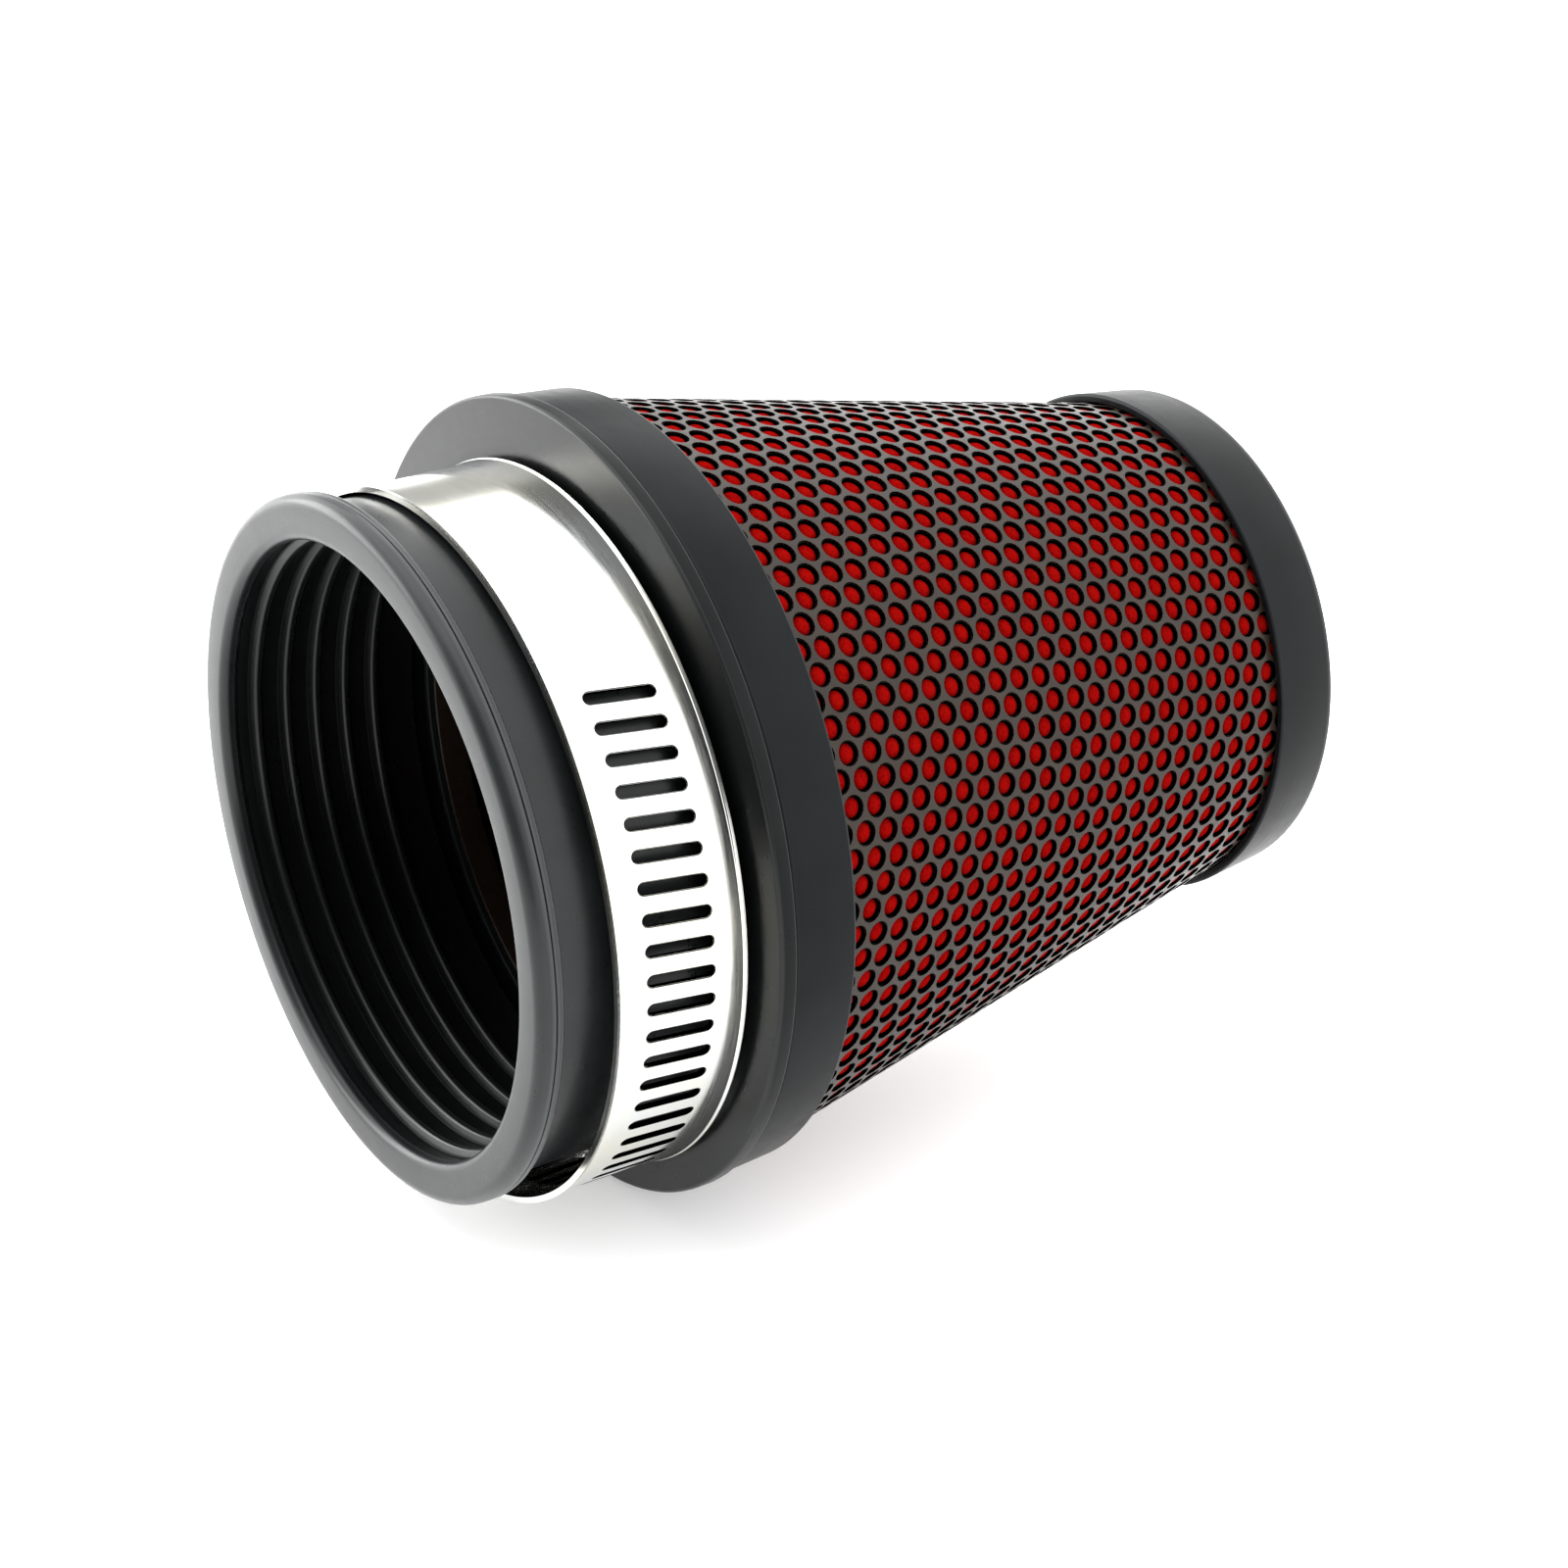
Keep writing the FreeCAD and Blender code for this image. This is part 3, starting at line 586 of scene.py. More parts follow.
def sheet_sides(triangles, outward):
    """Faces of a sheet's two sides, and a normal for each of their corners."""
    total = len(outward)
    tops = [tuple(triangle) for triangle in triangles]
    bottoms = [tuple(reversed(triangle)) for triangle in tops]
    normals = [outward[v] for face in tops for v in face] + [-outward[v] for face in bottoms for v in face]
    return tops + [tuple(v + total for v in face) for face in bottoms], normals


def hole_walls(shape, step, outward, into_hole):
    """Faces of the holes' eased rims and straight walls, and a normal for each of their corners."""
    total = len(outward)
    ring = np.arange(shape[0] * shape[1]).reshape(shape)
    faces, normals = [], []
    for a, b in zip(ring.ravel(), np.roll(ring, -1, 1).ravel()):
        rim, wall, bottom = (a, b), (b + 2 * total, a + 2 * total), (b + total, a + total)
        faces += [(*rim, *wall)[::step], (*wall[::-1], *bottom)[::step]]
        normals += [outward[a], outward[b], into_hole[b], into_hole[a]][::step]
        normals += [into_hole[a], into_hole[b], into_hole[b], into_hole[a]][::step]
    return faces, normals


def rim_walls(first, count, total, step, points):
    """Faces of a sheet's own edge, and a normal for each of their corners."""
    rim = np.arange(first, first + count)
    faces, normals = [], []
    for a, b in zip(rim, np.roll(rim, -1)):
        faces.append((a, a + total, b + total, b)[::step])
        normals += [np.cross(points[b] - points[a], points[a + total] - points[a]) * -step] * 4
    return faces, normals


def turned_out(points, triangles, outward):
    """The triangles in the order that faces them outward, and the step that other faces then take."""
    a, b, c = points[triangles[0]]
    if np.dot(np.cross(b - a, c - a), outward[triangles[0, 0]]) < 0:
        return triangles[:, ::-1], 1
    return triangles, -1


def screen(name, node, surface, thickness, points):
    """A perforated steel cone at a node's stations."""
    low, high = (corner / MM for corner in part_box(node))
    centres = hole_lattice(low.x, high.x, surface)
    return pierced_sheet(name, cone_border(low.x, high.x, surface),
                         round_holes(centres, HOLE_RADIUS, points),
                         cone_place(surface), thickness, HOLE_EDGE,
                         seam_points(low.x, high.x, surface, centres))


def foam():
    """The foam cone. Its outer face swells a little way into each hole of the screen."""
    low, high = (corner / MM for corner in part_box("filter_foam"))
    centres = hole_lattice(low.x, high.x, 0)
    anchors, directions, radius = round_holes(centres, HOLE_RADIUS, FOAM_POINTS)
    border = cone_border(low.x, high.x, 0)
    flat, triangles = triangulate(border, anchors + directions * radius, np.zeros((0, 2)))
    place = cone_place(0)
    points = [place(flat, SHEET_THICKNESS), place(flat, FOAM_DEPTH)]
    for share, depth in FOAM_SWELL:
        points.append(place((anchors + directions * radius * share).reshape(-1, 2), depth))
    points = np.concatenate([*points, place(centres, FOAM_CROWN)])
    outward = unit(place(flat, 0.0) - place(flat, SMALL_STEP))
    triangles, step = turned_out(points, triangles, outward)
    faces, _ = sheet_sides(triangles, outward)
    faces += swollen_faces(len(centres), len(flat), step)
    faces += rim_walls(len(flat) - len(border), len(border), len(flat), step, points)[0]
    return mesh_object("red_foam", points, faces)


def swollen_faces(count, total, step):
    """The foam's faces at each hole: a flat cover on the inner side, and rings that rise to a crown."""
    ring = np.arange(count * FOAM_POINTS).reshape(count, FOAM_POINTS)
    after = np.roll(ring, -1, 1)
    starts = [0] + [2 * total + level * ring.size for level in range(len(FOAM_SWELL))]
    faces = [tuple(cover + total)[::step] for cover in ring]
    for outer, inner in zip(starts, starts[1:]):
        for a, b in zip(ring.ravel(), after.ravel()):
            faces.append((a + outer, b + outer, b + inner, a + inner)[::step])
    crown = starts[-1] + ring.size
    for k in range(count):
        for a, b in zip(ring[k], after[k]):
            faces.append((a + starts[-1], b + starts[-1], crown + k)[::step])
    return faces


def clamp_points(x, y, z):
    """Points of the clamp's own frame, in the row frame."""
    return np.array(CLAMP_CENTRE) + np.outer(x, X_AXIS) + np.outer(y, SIDEWAYS) + np.outer(z, OUTWARD)


def strip_place(radius, edge_radius):
    """Bends a strip, drawn flat as (x, angle times radius), round the clamp's centre."""
    def place(flat, depth):
        turn = flat[:, 1] / radius
        inset = np.clip((abs(flat[:, 0]) - BAND_WIDTH / 2 + BAND_EDGE_WIDTH) / BAND_EDGE_WIDTH, 0, 1)
        r = radius + (edge_radius - radius) * inset ** 1.5 - depth
        return clamp_points(flat[:, 0], -r * np.sin(turn), r * np.cos(turn))
    return place


def strip_slots(numbers, radius):
    """Anchors and directions of the strip's leaning slots, which have round ends."""
    half = (SLOT_LENGTH - SLOT_WIDTH) / 2
    lean = math.atan2(SLOT_RISE, half)
    anchors, directions = [], []
    for number in numbers:
        middle = number * SLOT_ANGLE * radius
        for end in (1, -1):
            centre = (end * half, middle + end * SLOT_RISE)
            facing = lean + (0 if end == 1 else math.pi)
            for step in range(SLOT_END_POINTS):
                angle = facing + math.pi * (step / (SLOT_END_POINTS - 1) - 0.5)
                anchors.append(centre)
                directions.append((math.cos(angle), math.sin(angle)))
    shape = (len(numbers), 2 * SLOT_END_POINTS, 2)
    return np.array(anchors).reshape(shape), np.array(directions).reshape(shape), SLOT_WIDTH / 2


def strip_border(start, end, round_start, round_end):
    """Outline of a flat strip between two lengths. Either end can have round corners."""
    half = BAND_WIDTH / 2
    corners = [(half, start, round_start), (half, end, round_end),
               (-half, end, round_end), (-half, start, round_start)]
    outline = np.array(rounded(corners))
    filled = []
    for a, b in zip(outline, np.roll(outline, -1, 0)):
        pieces = max(1, int(np.hypot(*(b - a)) / STRIP_STEP))
        filled += [a + (b - a) * i / pieces for i in range(pieces)]
    return np.array(filled)


def strip_grid(start, end, slots):
    """Points that carry the strip's rolled edges round its curve, clear of its slots."""
    half = BAND_WIDTH / 2
    rows = np.arange(start + STRIP_STEP, end - STRIP_STEP / 2, STRIP_STEP)
    points = [(side * (half - BAND_EDGE_WIDTH * share), row)
              for share in EDGE_LANES for side in (1, -1) for row in rows]
    if slots:
        first, last = min(slots) - SLOT_CLEARANCE, max(slots) + SLOT_CLEARANCE
        rows = [row for row in rows if row < first or row > last]
    return points + [(x, row) for x in MIDDLE_LANES for row in rows]


def band():
    """The clamp's loop, whose ends meet under the housing."""
    length = math.tau * BAND_RADIUS
    numbers = [BAND_FIRST_SLOT + i for i in range(BAND_SLOTS)]
    slots = [number * SLOT_ANGLE * BAND_RADIUS for number in numbers]
    return pierced_sheet("clamp_strip", strip_border(BAND_JOINT, length - BAND_JOINT, 0, 0),
                         strip_slots(numbers, BAND_RADIUS), strip_place(BAND_RADIUS, BAND_EDGE_RADIUS),
                         BAND_THICKNESS, SLOT_EDGE, strip_grid(0, length, slots))


def tail():
    """The strip's free end, with round corners."""
    start, end = -TAIL_START * TAIL_RADIUS, (TAIL_SWEEP - TAIL_START) * TAIL_RADIUS
    numbers = list(range(TAIL_SLOTS))
    slots = [number * SLOT_ANGLE * TAIL_RADIUS for number in numbers]
    return pierced_sheet("clamp_strip_end", strip_border(start, end, 0, TAIL_ROUND),
                         strip_slots(numbers, TAIL_RADIUS), strip_place(TAIL_RADIUS, TAIL_RADIUS),
                         BAND_THICKNESS, SLOT_EDGE, strip_grid(start, end - TAIL_ROUND, slots))


def saddle():
    """The curved plate under the worm."""
    half = math.asin(HOUSING_LENGTH / 2 / SADDLE_RADIUS) * SADDLE_RADIUS
    no_holes = (np.zeros((0, 1, 2)), np.zeros((0, 1, 2)), 0.0)
    return pierced_sheet("worm_saddle", strip_border(-half, half, SADDLE_ROUND, SADDLE_ROUND), no_holes,
                         strip_place(SADDLE_RADIUS, SADDLE_RADIUS), SADDLE_THICKNESS, SADDLE_EDGE,
                         strip_grid(-half, half, []))


def bevelled(piece, width, segments=2):
    """Rounds a piece's sharp edges and keeps the result as its mesh."""
    modifier = piece.modifiers.new("edges", "BEVEL")
    modifier.width = width * MM
    modifier.segments = segments
    modifier.limit_method = "ANGLE"
    modifier.angle_limit = BEVEL_ANGLE
    apply_modifiers(piece)


def apply_modifiers(piece):
    """Keeps what the piece's modifiers make as its own mesh, shaded and marked afresh."""
    graph = bpy.context.evaluated_depsgraph_get()
    mesh = bpy.data.meshes.new_from_object(piece.evaluated_get(graph))
    piece.modifiers.clear()
    piece.data = mesh
    mesh.shade_smooth()
    mesh.set_sharp_from_angle(angle=SHARP_ANGLE)
    if "edge" in mesh.attributes:
        mesh.attributes.remove(mesh.attributes["edge"])
    mark_edges(mesh)


def prism(outline, start, end):
    """A solid between two stations of the clamp's y, over an (x, z) outline."""
    count = len(outline)
    x, z = np.array(outline).T
    points = np.concatenate([clamp_points(x, np.full(count, y), z) for y in (start, end)])
    faces = [tuple(range(count)), tuple(reversed(range(count, 2 * count)))]
    faces += [(i, i + count, (i + 1) % count + count, (i + 1) % count) for i in range(count)]
    return points, faces


def housing_fold(grow):
    """The housing's open (x, z) outline, grown outwards: legs, shoulders, throat and round back."""
    leg, throat, shoulder = BAND_WIDTH / 2 + SIDE_GAP + grow, THROAT + grow, SHOULDER + grow
    right = rounded([(leg, LEG_BOTTOM, 0), (leg, shoulder, SHOULDER_BEND + grow),
                     (throat, shoulder, THROAT_BEND - grow), (throat, SCREW_HEIGHT, 0)], closed=False)
    turns = [math.pi * step / BACK_STEPS for step in range(1, BACK_STEPS)]
    back = [(throat * math.cos(turn), SCREW_HEIGHT + throat * math.sin(turn)) for turn in turns]
    return right + back + [(-x, z) for x, z in reversed(right)]


def housing():
    """The folded sheet that carries the screw, with an end wall on the side away from its head."""
    outside = housing_fold(SHEET_METAL)
    half = HOUSING_LENGTH / 2
    points, faces = prism(outside + housing_fold(0.0)[::-1], -half, half)
    widest = THROAT + SHEET_METAL + SMALL_STEP
    cover = [(x, z) for x, z in outside if z > SHOULDER and abs(x) < widest]
    wall_points, wall_faces = prism(cover, half - END_WALL, half - WALL_INSET)
    faces += [tuple(v + len(points) for v in face) for face in wall_faces]
    piece = mesh_object("worm_housing", np.concatenate([points, wall_points]), faces)
    recalculate_normals(piece)
    bevelled(piece, HOUSING_BEVEL)
    return piece


def recalculate_normals(piece):
    """Turns all faces of a closed piece outwards."""
    mesh = bmesh.new()
    mesh.from_mesh(piece.data)
    bmesh.ops.recalc_face_normals(mesh, faces=mesh.faces)
    mesh.to_mesh(piece.data)
    mesh.free()


def thread_radius(turn, z):
    """Radius of the worm at an angle and a station of its own axis."""
    phase = ((z / THREAD_PITCH + THREAD_PHASE - turn / math.tau + 0.5) % 1 - 0.5) * THREAD_PITCH
    flank = (THREAD_ROOT - THREAD_CREST) / 2
    height = np.clip((THREAD_ROOT / 2 - abs(phase)) / flank, 0, 1)
    return CORE_RADIUS + (THREAD_RADIUS - CORE_RADIUS) * height


def screw_points(x, y, z):
    """Points of the screw's own frame, whose z runs to the head, in the row frame."""
    return np.array(SCREW_CENTRE) + np.outer(x, X_AXIS) + np.outer(y, OUTWARD) - np.outer(z, SIDEWAYS)


def threaded_rows(turns, start, end):
    """Stations and radii of the worm's core and thread, which runs out at both ends."""
    rows = [(start, np.full(len(turns), CORE_RADIUS - SCREW_END_TAPER))]
    first, last = start + SCREW_END_LENGTH, end - 2 * THREAD_RUN_OUT
    for z in np.arange(first, end - THREAD_LAST_ROW, THREAD_STEP):
        run_in = np.clip((z - first) / THREAD_RUN_OUT, 0, 1) * np.clip((last - z) / THREAD_RUN_OUT, 0, 1)
        rows.append((z, CORE_RADIUS + (thread_radius(turns, z) - CORE_RADIUS) * run_in))
    return rows


def head_rows(turns, mouth, collar_end, head_end):
    """Stations and radii of the round collar and the hexagon head, whose corners are eased."""
    flat = np.ones(len(turns))
    corner = HEAD_FLATS / 2 / np.cos((turns + math.pi / 6) % (math.pi / 3) - math.pi / 6)
    eased = flat * (COLLAR_RADIUS - FINE_ROUND)
    rows = [(mouth, flat * CORE_RADIUS), (mouth, eased), (mouth + FINE_ROUND, flat * COLLAR_RADIUS),
            (collar_end - FINE_ROUND, flat * COLLAR_RADIUS), (collar_end, eased),
            (collar_end, np.minimum(corner, HEAD_FOOT_RADIUS)),
            (collar_end + HEAD_FOOT_LENGTH, np.minimum(corner, HEAD_RADIUS))]
    for step in range(CROWN_STEPS + 1):
        angle = math.pi / 2 * step / CROWN_STEPS
        limit = CROWN_RADIUS + CROWN_SWELL * math.cos(angle)
        rows.append((head_end - CROWN_LENGTH + CROWN_LENGTH * math.sin(angle), np.minimum(corner, limit)))
    return rows


def worm_screw():
    """The worm: a threaded core, a collar and a hexagon head with a driver slot."""
    turns = np.arange(SCREW_SEGMENTS) * math.tau / SCREW_SEGMENTS
    inner_end = -(HOUSING_LENGTH / 2 - END_WALL - SCREW_END_GAP)
    mouth = HOUSING_LENGTH / 2 + SCREW_END_GAP
    collar_end = mouth + COLLAR_LENGTH
    head_end = collar_end + HEAD_LENGTH
    rows = threaded_rows(turns, inner_end, mouth) + head_rows(turns, mouth, collar_end, head_end)
    z = np.repeat([row[0] for row in rows], SCREW_SEGMENTS)
    radius = np.concatenate([row[1] for row in rows])
    around = np.tile(turns, len(rows))
    rings = np.arange(len(z)).reshape(-1, SCREW_SEGMENTS).tolist()
    faces = row_faces(rings, rings[1:]) + [rings[0][::-1], rings[-1]]
    points = screw_points(radius * np.cos(around), radius * np.sin(around), z)
    piece = mesh_object("clamp_screw", points, faces)
    cut_driver_slot(piece, head_end)
    return piece


def cut_driver_slot(piece, head_end):
    """Saws the screwdriver slot across the head."""
    half = DRIVER_SLOT / 2
    x = [-half, half, half, -half] * 2
    y = [-HEAD_FLATS, -HEAD_FLATS, HEAD_FLATS, HEAD_FLATS] * 2
    z = [head_end - DRIVER_SLOT_DEPTH] * 4 + [head_end + DRIVER_SLOT_DEPTH] * 4
    faces = [(0, 3, 2, 1), (4, 5, 6, 7), (0, 1, 5, 4), (1, 2, 6, 5), (2, 3, 7, 6), (3, 0, 4, 7)]
    cutter = mesh_object("driver_blade", screw_points(x, y, z), faces)
    recalculate_normals(cutter)
    modifier = piece.modifiers.new("slot", "BOOLEAN")
    modifier.operation = "DIFFERENCE"
    modifier.object = cutter
    modifier.solver = "EXACT"
    apply_modifiers(piece)
    bpy.data.objects.remove(cutter)


class Nodes:
    """A node tree under construction."""

    def __init__(self, tree):
        self.tree = tree

    def put(self, node, inputs):
        """Sets a node's inputs. A value that is another node's output is joined to its input."""
        for key, value in inputs.items():
            if isinstance(value, bpy.types.NodeSocket):
                self.tree.links.new(value, node.inputs[key])
            elif value is not None:
                node.inputs[key].default_value = value

    def add(self, kind, inputs, **settings):
        """A new node with its settings and its inputs."""
        node = self.tree.nodes.new(kind)
        for key, value in settings.items():
            setattr(node, key, value)
        self.put(node, inputs)
        return node

    def math(self, operation, first, second=None):
        """The result of an operation on numbers or on other nodes' outputs."""
        return self.add("ShaderNodeMath", {0: first, 1: second}, operation=operation).outputs[0]

    def ramp(self, value, low, high, from_low=0.3, from_high=0.7):
        """Maps a value's working range to another range."""
        return self.add("ShaderNodeMapRange", {"Value": value, "From Min": from_low, "From Max": from_high,
                                               "To Min": low, "To Max": high}).outputs[0]


class Shader(Nodes):
    """A node material under construction, with the object's own coordinates in metres."""

    def __init__(self, name, roughness, metallic=0.0):
        self.material = bpy.data.materials.new(name)
        self.material.use_nodes = True
        super().__init__(self.material.node_tree)
        self.surface = self.tree.nodes["Principled BSDF"]
        self.put(self.surface, {"Roughness": roughness, "Metallic": metallic})
        self.coordinates = self.add("ShaderNodeTexCoord", {}).outputs["Object"]

    def noise(self, size_mm, detail=3.0, rough=0.5, vector=None):
        """Noise between 0 and 1 whose blobs are about size_mm across."""
        return self.add("ShaderNodeTexNoise", {
            "Scale": 1 / (size_mm * MM), "Detail": detail, "Roughness": rough,
            "Vector": self.coordinates if vector is None else vector}).outputs["Fac"]

    def cells(self, size_mm):
        """Distance to the nearest of scattered points, about size_mm apart."""
        return self.add("ShaderNodeTexVoronoi", {
            "Scale": 1 / (size_mm * MM), "Vector": self.coordinates}).outputs["Distance"]

    def blend(self, factor, *colours):
        """A colour between two colours, either of which can be another node's output."""
        first, second = ((*c, 1) if isinstance(c, tuple) else c for c in colours)
        return self.add("ShaderNodeMix", {0: factor, 6: first, 7: second}, data_type="RGBA").outputs[2]

    def bump(self, height, distance_mm, strength=1.0, under=None):
        """A normal for a height pattern, laid over another normal if there is one under it."""
        return self.add("ShaderNodeBump", {"Height": height, "Distance": distance_mm * MM,
                                           "Strength": strength, "Normal": under}).outputs["Normal"]

    def polar(self):
        """Distance along the X axis, angle round it and distance from it."""
        along, y, z = self.add("ShaderNodeSeparateXYZ", {0: self.coordinates}).outputs
        squares = self.math("ADD", self.math("POWER", y, 2.0), self.math("POWER", z, 2.0))
        return along, self.math("ARCTAN2", y, z), self.math("SQRT", squares)

    def turned(self, across, around):
        """Coordinates stretched round the X axis, for marks that run round a turned or rolled piece."""
        scales = zip(self.polar(), (across, around, across))
        parts = {i: self.math("MULTIPLY", *part) for i, part in enumerate(scales)}
        return self.add("ShaderNodeCombineXYZ", parts).outputs[0]

    def curve(self, low, high, from_low, from_high):
        """Maps the stored curvature, in 1/mm, to another range."""
        edge = self.add("ShaderNodeAttribute", {}, attribute_name="edge").outputs["Fac"]
        return self.ramp(edge, low, high, from_low, from_high)

    def finish(self, colour=None, roughness=None, normal=None):
        """The material, with what was given joined to its surface."""
        self.put(self.surface, {"Base Color": colour, "Roughness": roughness, "Normal": normal})
        return self.material


def shade(colour, factor):
    """The colour, darker or paler by a factor."""
    return tuple(c * factor for c in colour)


def bore_flange_painted_shade(shader):
    """Painted shade: where the neck is painted darker and less glossy, in its bore and on its flange, and its
    share of gloss there.
    """
    along, _, radius = shader.polar()

    def past(value, stations):
        return shader.ramp(value, 0, 1, stations[0] * MM, stations[1] * MM)

    inside = shader.ramp(radius, 1, 0, SHADED_RADII[0] * MM, SHADED_RADII[1] * MM)
    bore = shader.math("MULTIPLY", inside, past(along, SHADED_MOUTH))
    painted_dark = shader.math("MAXIMUM", bore, past(along, SHADED_FLANGE))
    matt = shader.math("MAXIMUM", shader.math("MULTIPLY", painted_dark, PAINTED_SHADE_MATT),
                       shader.math("MULTIPLY", past(along, SHADED_RIM), RIM_MATT))
    return painted_dark, shader.math("SUBTRACT", 1.0, matt)


def moulded(name, colour, roughness, grain_mm, grain_depth, worn_and_highlight, shine, painted_shade=None):
    """Black rubber or plastic: faint clouding, fine grain, turned marks, dust, convex edges painted paler as
    wear and painted highlight, less gloss in creases as painted shade, and painted shade where a mask is
    given.
    """
    shader = Shader(name, roughness)
    clouds = shader.ramp(shader.noise(CLOUD_MM, 4), 0, 1)
    cloud = shader.blend(clouds, shade(colour, 0.75), shade(colour, 1.25))
    dust = shader.ramp(shader.noise(DUST_MM, 2), low=0, high=0.35, from_low=0.68, from_high=0.78)
    dusty = shader.blend(dust, cloud, tuple(c + DUST_PALER for c in colour))
    # Paler convex edges: partly wear, partly a painted highlight.
    edged = shader.blend(shader.curve(0.0, worn_and_highlight, *WEAR_HIGHLIGHT_CURVES), dusty, shade(colour, WEAR_HIGHLIGHT_PALER))
    marks = shader.noise(MARKS_MM, 2, 0.6, shader.turned(1600.0, 1.5))
    rough = shader.math("ADD", shader.ramp(shader.noise(2.5, 5, 0.65), roughness - 0.03, roughness + 0.03),
                        shader.ramp(marks, -0.02, 0.02))
    # Painted shade: less gloss in creases.
    gloss = shader.curve(0.1 * shine, shine, *CREASE_SHADE_CURVES)
    # Painted shade: darker towards black and less glossy deep in the bore and from the flange back.
    if painted_shade:
        painted_dark, share = painted_shade(shader)
        edged = shader.blend(shader.math("MULTIPLY", painted_dark, PAINTED_SHADE_DARK), edged, (0, 0, 0))
        gloss = shader.math("MULTIPLY", gloss, share)
    shader.put(shader.surface, {"Specular IOR Level": gloss})
    grain = shader.bump(shader.noise(grain_mm, 3, 0.6), grain_depth, 0.6)
    return shader.finish(edged, rough, shader.bump(marks, 0.003, 0.3, grain))


def zinc(name, colour, tint, roughness, streak):
    """Bright plated steel strip: rolled streaks round it, faint passivation tints and small scuffs."""
    shader = Shader(name, roughness, 1.0)
    tinted = shader.blend(shader.ramp(shader.noise(TINT_MM, 3), 0, 1), colour, tint)
    scuffs = shader.ramp(shader.noise(SCUFF_MM, 6, 0.75), low=0.0, high=1.0, from_low=0.62, from_high=0.75)
    scuffed = shader.blend(shader.math("MULTIPLY", scuffs, 0.25), tinted, shade(colour, 0.7))
    streaks = shader.noise(MARKS_MM, 5, 0.7, shader.turned(5200.0, 2.2))
    rough = shader.math("ADD", shader.ramp(streaks, roughness - 0.05, roughness + 0.07),
                        shader.math("MULTIPLY", scuffs, 0.12))
    rolled = shader.bump(streaks, 0.004, streak)
    return shader.finish(scuffed, rough, shader.bump(shader.noise(WAVE_MM, 2), 0.12, 0.3, rolled))


def screen_steel(name, colour):
    """Dull galvanised sheet: small spangle, oily darker patches and a fine rolled grain."""
    shader = Shader(name, 0.32, 0.1)
    shader.put(shader.surface, {"Specular IOR Level": STEEL_SHINE})
    patches = shader.blend(shader.ramp(shader.noise(PATCH_MM, 4, 0.6), 0, 1), shade(colour, 0.7),
                           shade(colour, 1.15))
    flakes = shader.ramp(shader.cells(SPANGLE_MM), low=0.0, high=0.35, from_low=0.2, from_high=0.8)
    spangle = shader.blend(flakes, patches, shade(colour, 1.3))
    rough = shader.ramp(shader.noise(0.8, 5, 0.7), 0.24, 0.42)
    return shader.finish(spangle, rough, shader.bump(shader.noise(0.25, 4, 0.6), 0.02, 0.5))


def foam_red(name, colour):
    """Oiled open-cell foam: pores of about half a millimetre, darker down in the cells, and painted shade
    down in the screen's holes.
    """
    shader = Shader(name, 0.6)
    shader.put(shader.surface, {"Specular IOR Level": 0.0})
    pores = shader.cells(PORE_MM)
    deep = shader.blend(shader.ramp(pores, 0, 1, from_low=0.1, from_high=0.55), shade(colour, 0.55), colour)
    mottled = shader.blend(shader.ramp(shader.noise(MOTTLE_MM, 4), 0, 0.5), deep,
                           tuple(c * paler for c, paler in zip(colour, MOTTLE_PALER)))
    # Painted shade: the foam is darker down in the screen's holes.
    coloured = shader.blend(painted_hole_shade(shader), mottled, shade(colour, HOLE_SHADE_DARK))
    rough = shader.ramp(shader.noise(0.5, 3), 0.45, 0.75)
    fibres = shader.bump(shader.noise(FIBRE_MM, 2), 0.03, 0.4)
    return shader.finish(coloured, rough, shader.bump(pores, 0.12, 0.55, fibres))


def painted_hole_shade(shader):
    """Painted shade on the foam: darker the deeper it lies down in the screen's holes, but not on its inner
    side, which stays as it is.
    """
    along, _, radius = shader.polar()
    surface = shader.math("MULTIPLY", shader.math("SUBTRACT", CONE_APEX * MM, along), CONE_SLOPE)
    depth = shader.math("SUBTRACT", surface, radius)
    near, far = (tuple(edge * MM for edge in depths) for depths in (HOLE_SHADE_DEPTHS, INNER_DEPTHS))
    return shader.math("MINIMUM", shader.ramp(depth, 0.0, HOLE_SHADE_MOST, *near),
                       shader.ramp(depth, HOLE_SHADE_MOST, 0.0, *far))


def floor(lowest):
    """A wide pale table under the filter, which glows a little."""
    corners = ((-1, -1), (1, -1), (1, 1), (-1, 1))
    mesh = bpy.data.meshes.new("table")
    mesh.from_pydata([(x * TABLE_REACH, y * TABLE_REACH, lowest) for x, y in corners], [], [(0, 1, 2, 3)])
    table = new_object("table", mesh)
    shader = Shader("pale_table", 0.6)
    shader.put(shader.surface, {"Emission Color": (1, 1, 1, 1), "Emission Strength": TABLE_GLOW})
    colour = shader.blend(shader.ramp(shader.noise(TABLE_CLOUD_MM, 3), 0, 1), *TABLE_COLOURS)
    table.data.materials.append(shader.finish(colour))


def area_light(name, place, target, size, power):
    """A soft box that points at its target."""
    light = bpy.data.lights.new(name, "AREA")
    light.shape = "RECTANGLE"
    light.size, light.size_y = size
    light.energy = power
    lamp = new_object(name, light)
    lamp.location = place
    lamp.rotation_euler = (Vector(target) - Vector(place)).to_track_quat("-Z", "Y").to_euler()


def flagged(studio, direction, flag):
    """The world's strength with one dark flag in it, by the direction that light comes from."""
    toward = studio.add("ShaderNodeVectorMath", {0: direction, 1: Vector(flag["side"]).normalized()},
                        operation="DOT_PRODUCT")
    strength = studio.ramp(toward.outputs["Value"], WORLD_BRIGHT, flag["strength"],
                           flag["from"], flag["full"])
    strength.node.interpolation_type = "SMOOTHSTEP"
    return strength


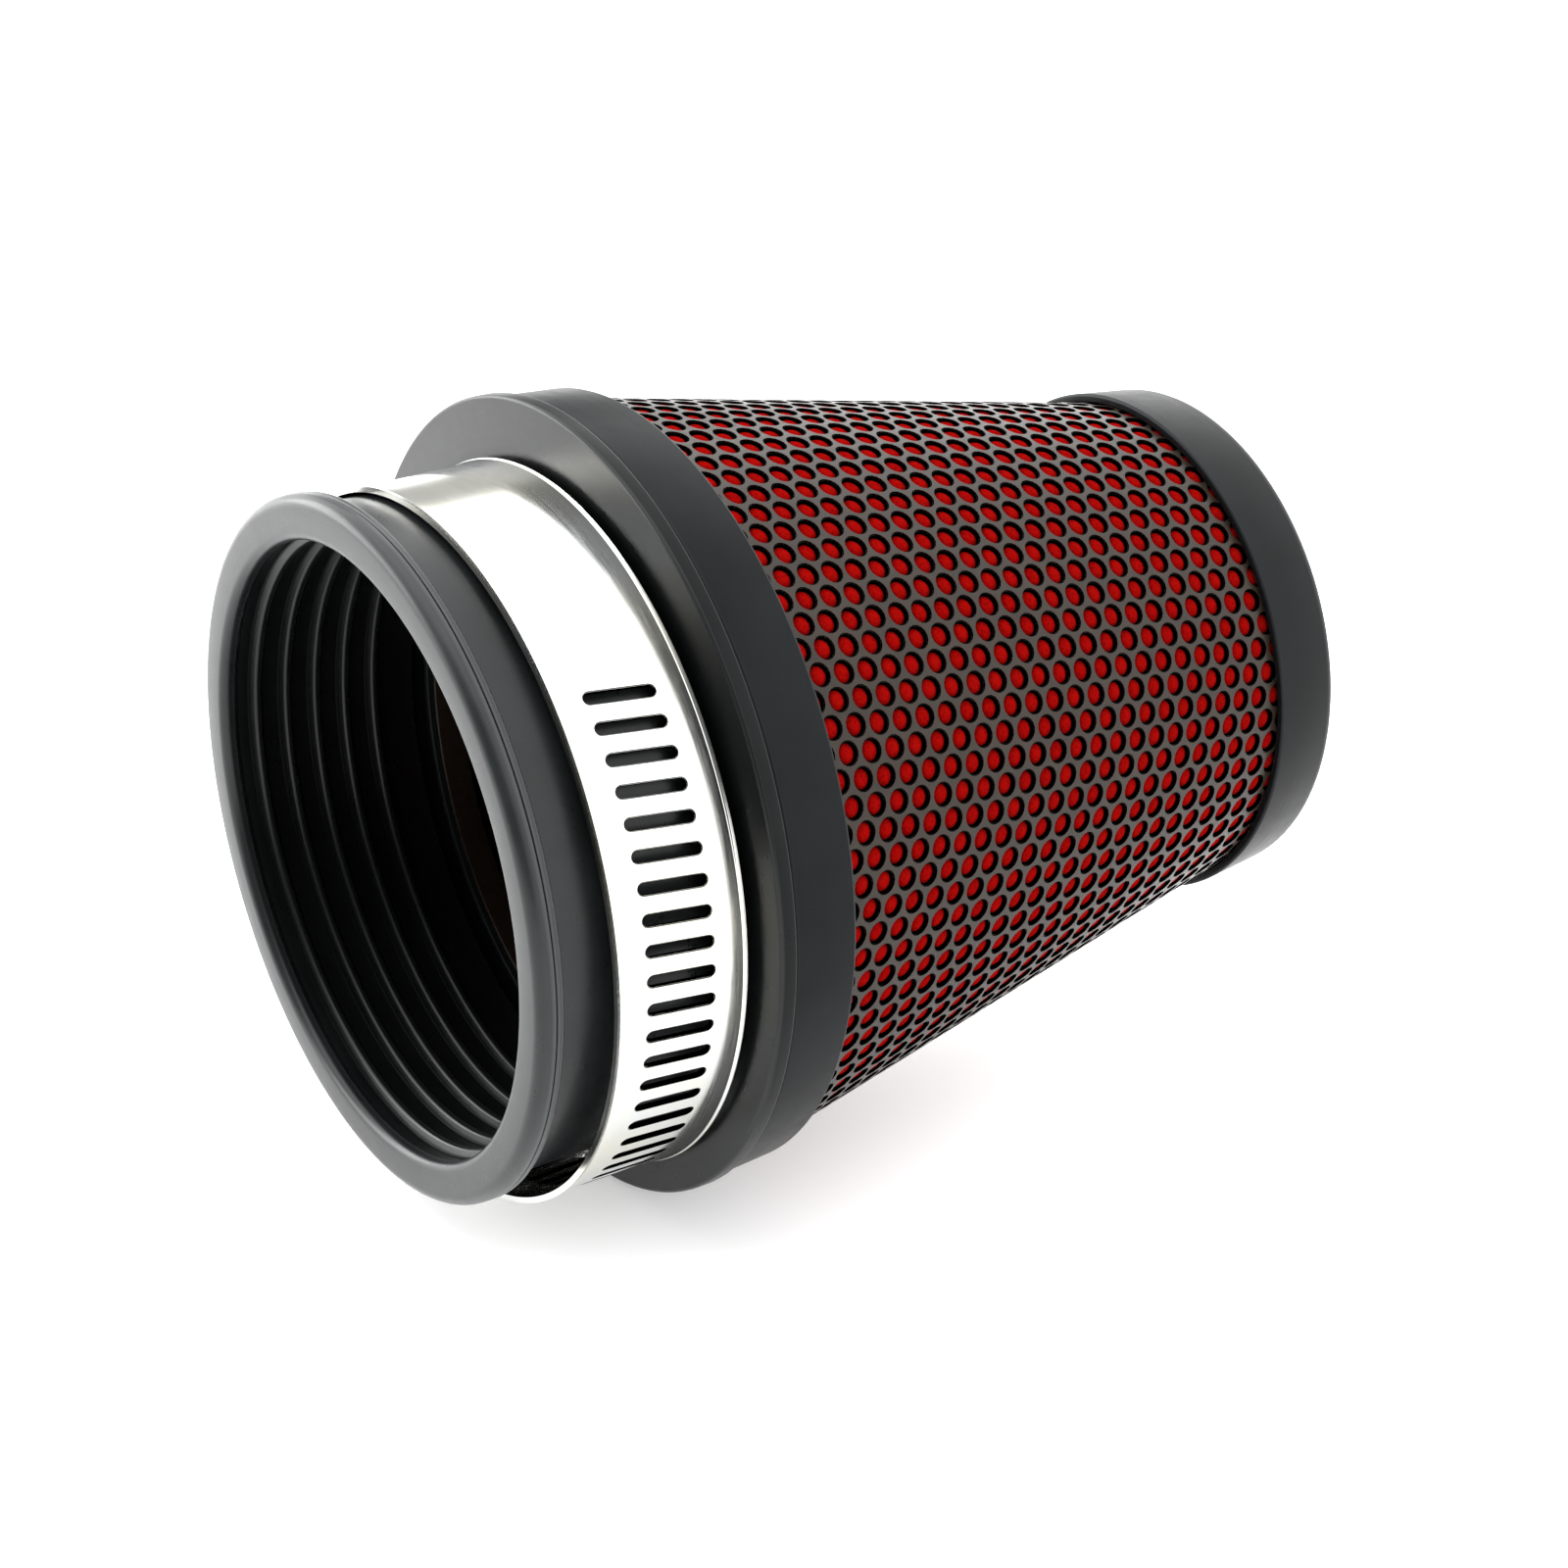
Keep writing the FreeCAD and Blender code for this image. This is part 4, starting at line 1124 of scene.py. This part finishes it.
def lights():
    """A white studio with two dark flags, which the camera itself sees as white, and two soft boxes."""
    world = bpy.data.worlds.new("studio")
    world.use_nodes = True
    studio = Nodes(world.node_tree)
    direction = studio.add("ShaderNodeTexCoord", {}).outputs["Generated"]
    strength = studio.math("MINIMUM", *(flagged(studio, direction, flag) for flag in FLAGS))
    camera_ray = studio.add("ShaderNodeLightPath", {}).outputs["Is Camera Ray"]
    seen = studio.math("MAXIMUM", camera_ray, strength)
    studio.put(studio.tree.nodes["Background"], {"Color": (1, 1, 1, 1), "Strength": seen})
    bpy.context.scene.world = world
    area_light("top_box", **TOP_BOX)
    area_light("back_left_box", **BACK_LEFT_BOX)


def camera():
    """The camera, turned from looking along +Y by the azimuth and raised by the elevation."""
    data = bpy.data.cameras.new("view")
    data.lens = CAMERA_LENS
    data.sensor_width = SENSOR_WIDTH
    data.clip_start = NEAR_CLIP
    data.dof.use_dof = False
    eye = new_object("view", data)
    flat = math.cos(CAMERA_ELEVATION)
    back = Vector((math.sin(CAMERA_AZIMUTH) * flat, -math.cos(CAMERA_AZIMUTH) * flat,
                   math.sin(CAMERA_ELEVATION)))
    eye.location = CAMERA_AIM + back * CAMERA_DISTANCE
    eye.rotation_euler = back.to_track_quat("Z", "Y").to_euler()
    bpy.context.scene.camera = eye


def dress(piece, node, body, material):
    """Puts a finished piece in place of its CAD node."""
    piece.data.materials.clear()
    piece.data.materials.append(material)
    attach(piece, body)
    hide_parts(node)


def build():
    """Makes every material and piece, and puts each piece in place of its CAD node."""
    rubber = moulded("neck_rubber", **RUBBER, painted_shade=bore_flange_painted_shade)
    ring = moulded("ring_plastic", **RING)
    cap = moulded("cap_plastic", **CAP)
    potting = moulded("cast_potting", **POTTING)
    steel = screen_steel("screen_steel", STEEL_COLOUR)
    plated = zinc("bright_zinc", **BRIGHT_ZINC)
    pressed = zinc("pressed_zinc", **PRESSED_ZINC)
    red = foam_red("red_foam", FOAM_COLOUR)
    dress(neck(), "neck_moulding", "filter", rubber)
    dress(base_ring(), "base_ring", "filter", ring)
    dress(inner_collar(), "inner_collar", "filter", steel)
    dress(end_cap(), "end_cap", "filter", cap)
    dress(potting_ring(), "base_potting", "filter", potting)
    dress(plug("cap_potting_fill", "cap_potting", SHEET_THICKNESS, 0.0), "cap_potting", "filter",
          potting)
    dress(plug("inner_screen_disc", "inner_end_disc", FOAM_DEPTH, FINE_ROUND), "inner_end_disc", "filter",
          steel)
    dress(screen("perforated_screen", "outer_screen", 0, SHEET_THICKNESS, HOLE_POINTS),
          "outer_screen", "filter", steel)
    dress(screen("support_screen", "inner_screen", FOAM_DEPTH, INNER_THICKNESS, INNER_HOLE_POINTS),
          "inner_screen", "filter", steel)
    soft = foam()
    dress(soft, "filter_foam", "filter", red)
    dress(band(), "clamp_band", "clamp", plated)
    dress(saddle(), "clamp_saddle", "clamp", pressed)
    dress(housing(), "clamp_housing", "clamp", pressed)
    dress(tail(), "band_tail", "tail", plated)
    dress(worm_screw(), "worm_screw", "screw", pressed)


build()
floor(cad_box[0][2])
lights()
camera()
bpy.context.scene.view_settings.view_transform = "Standard"
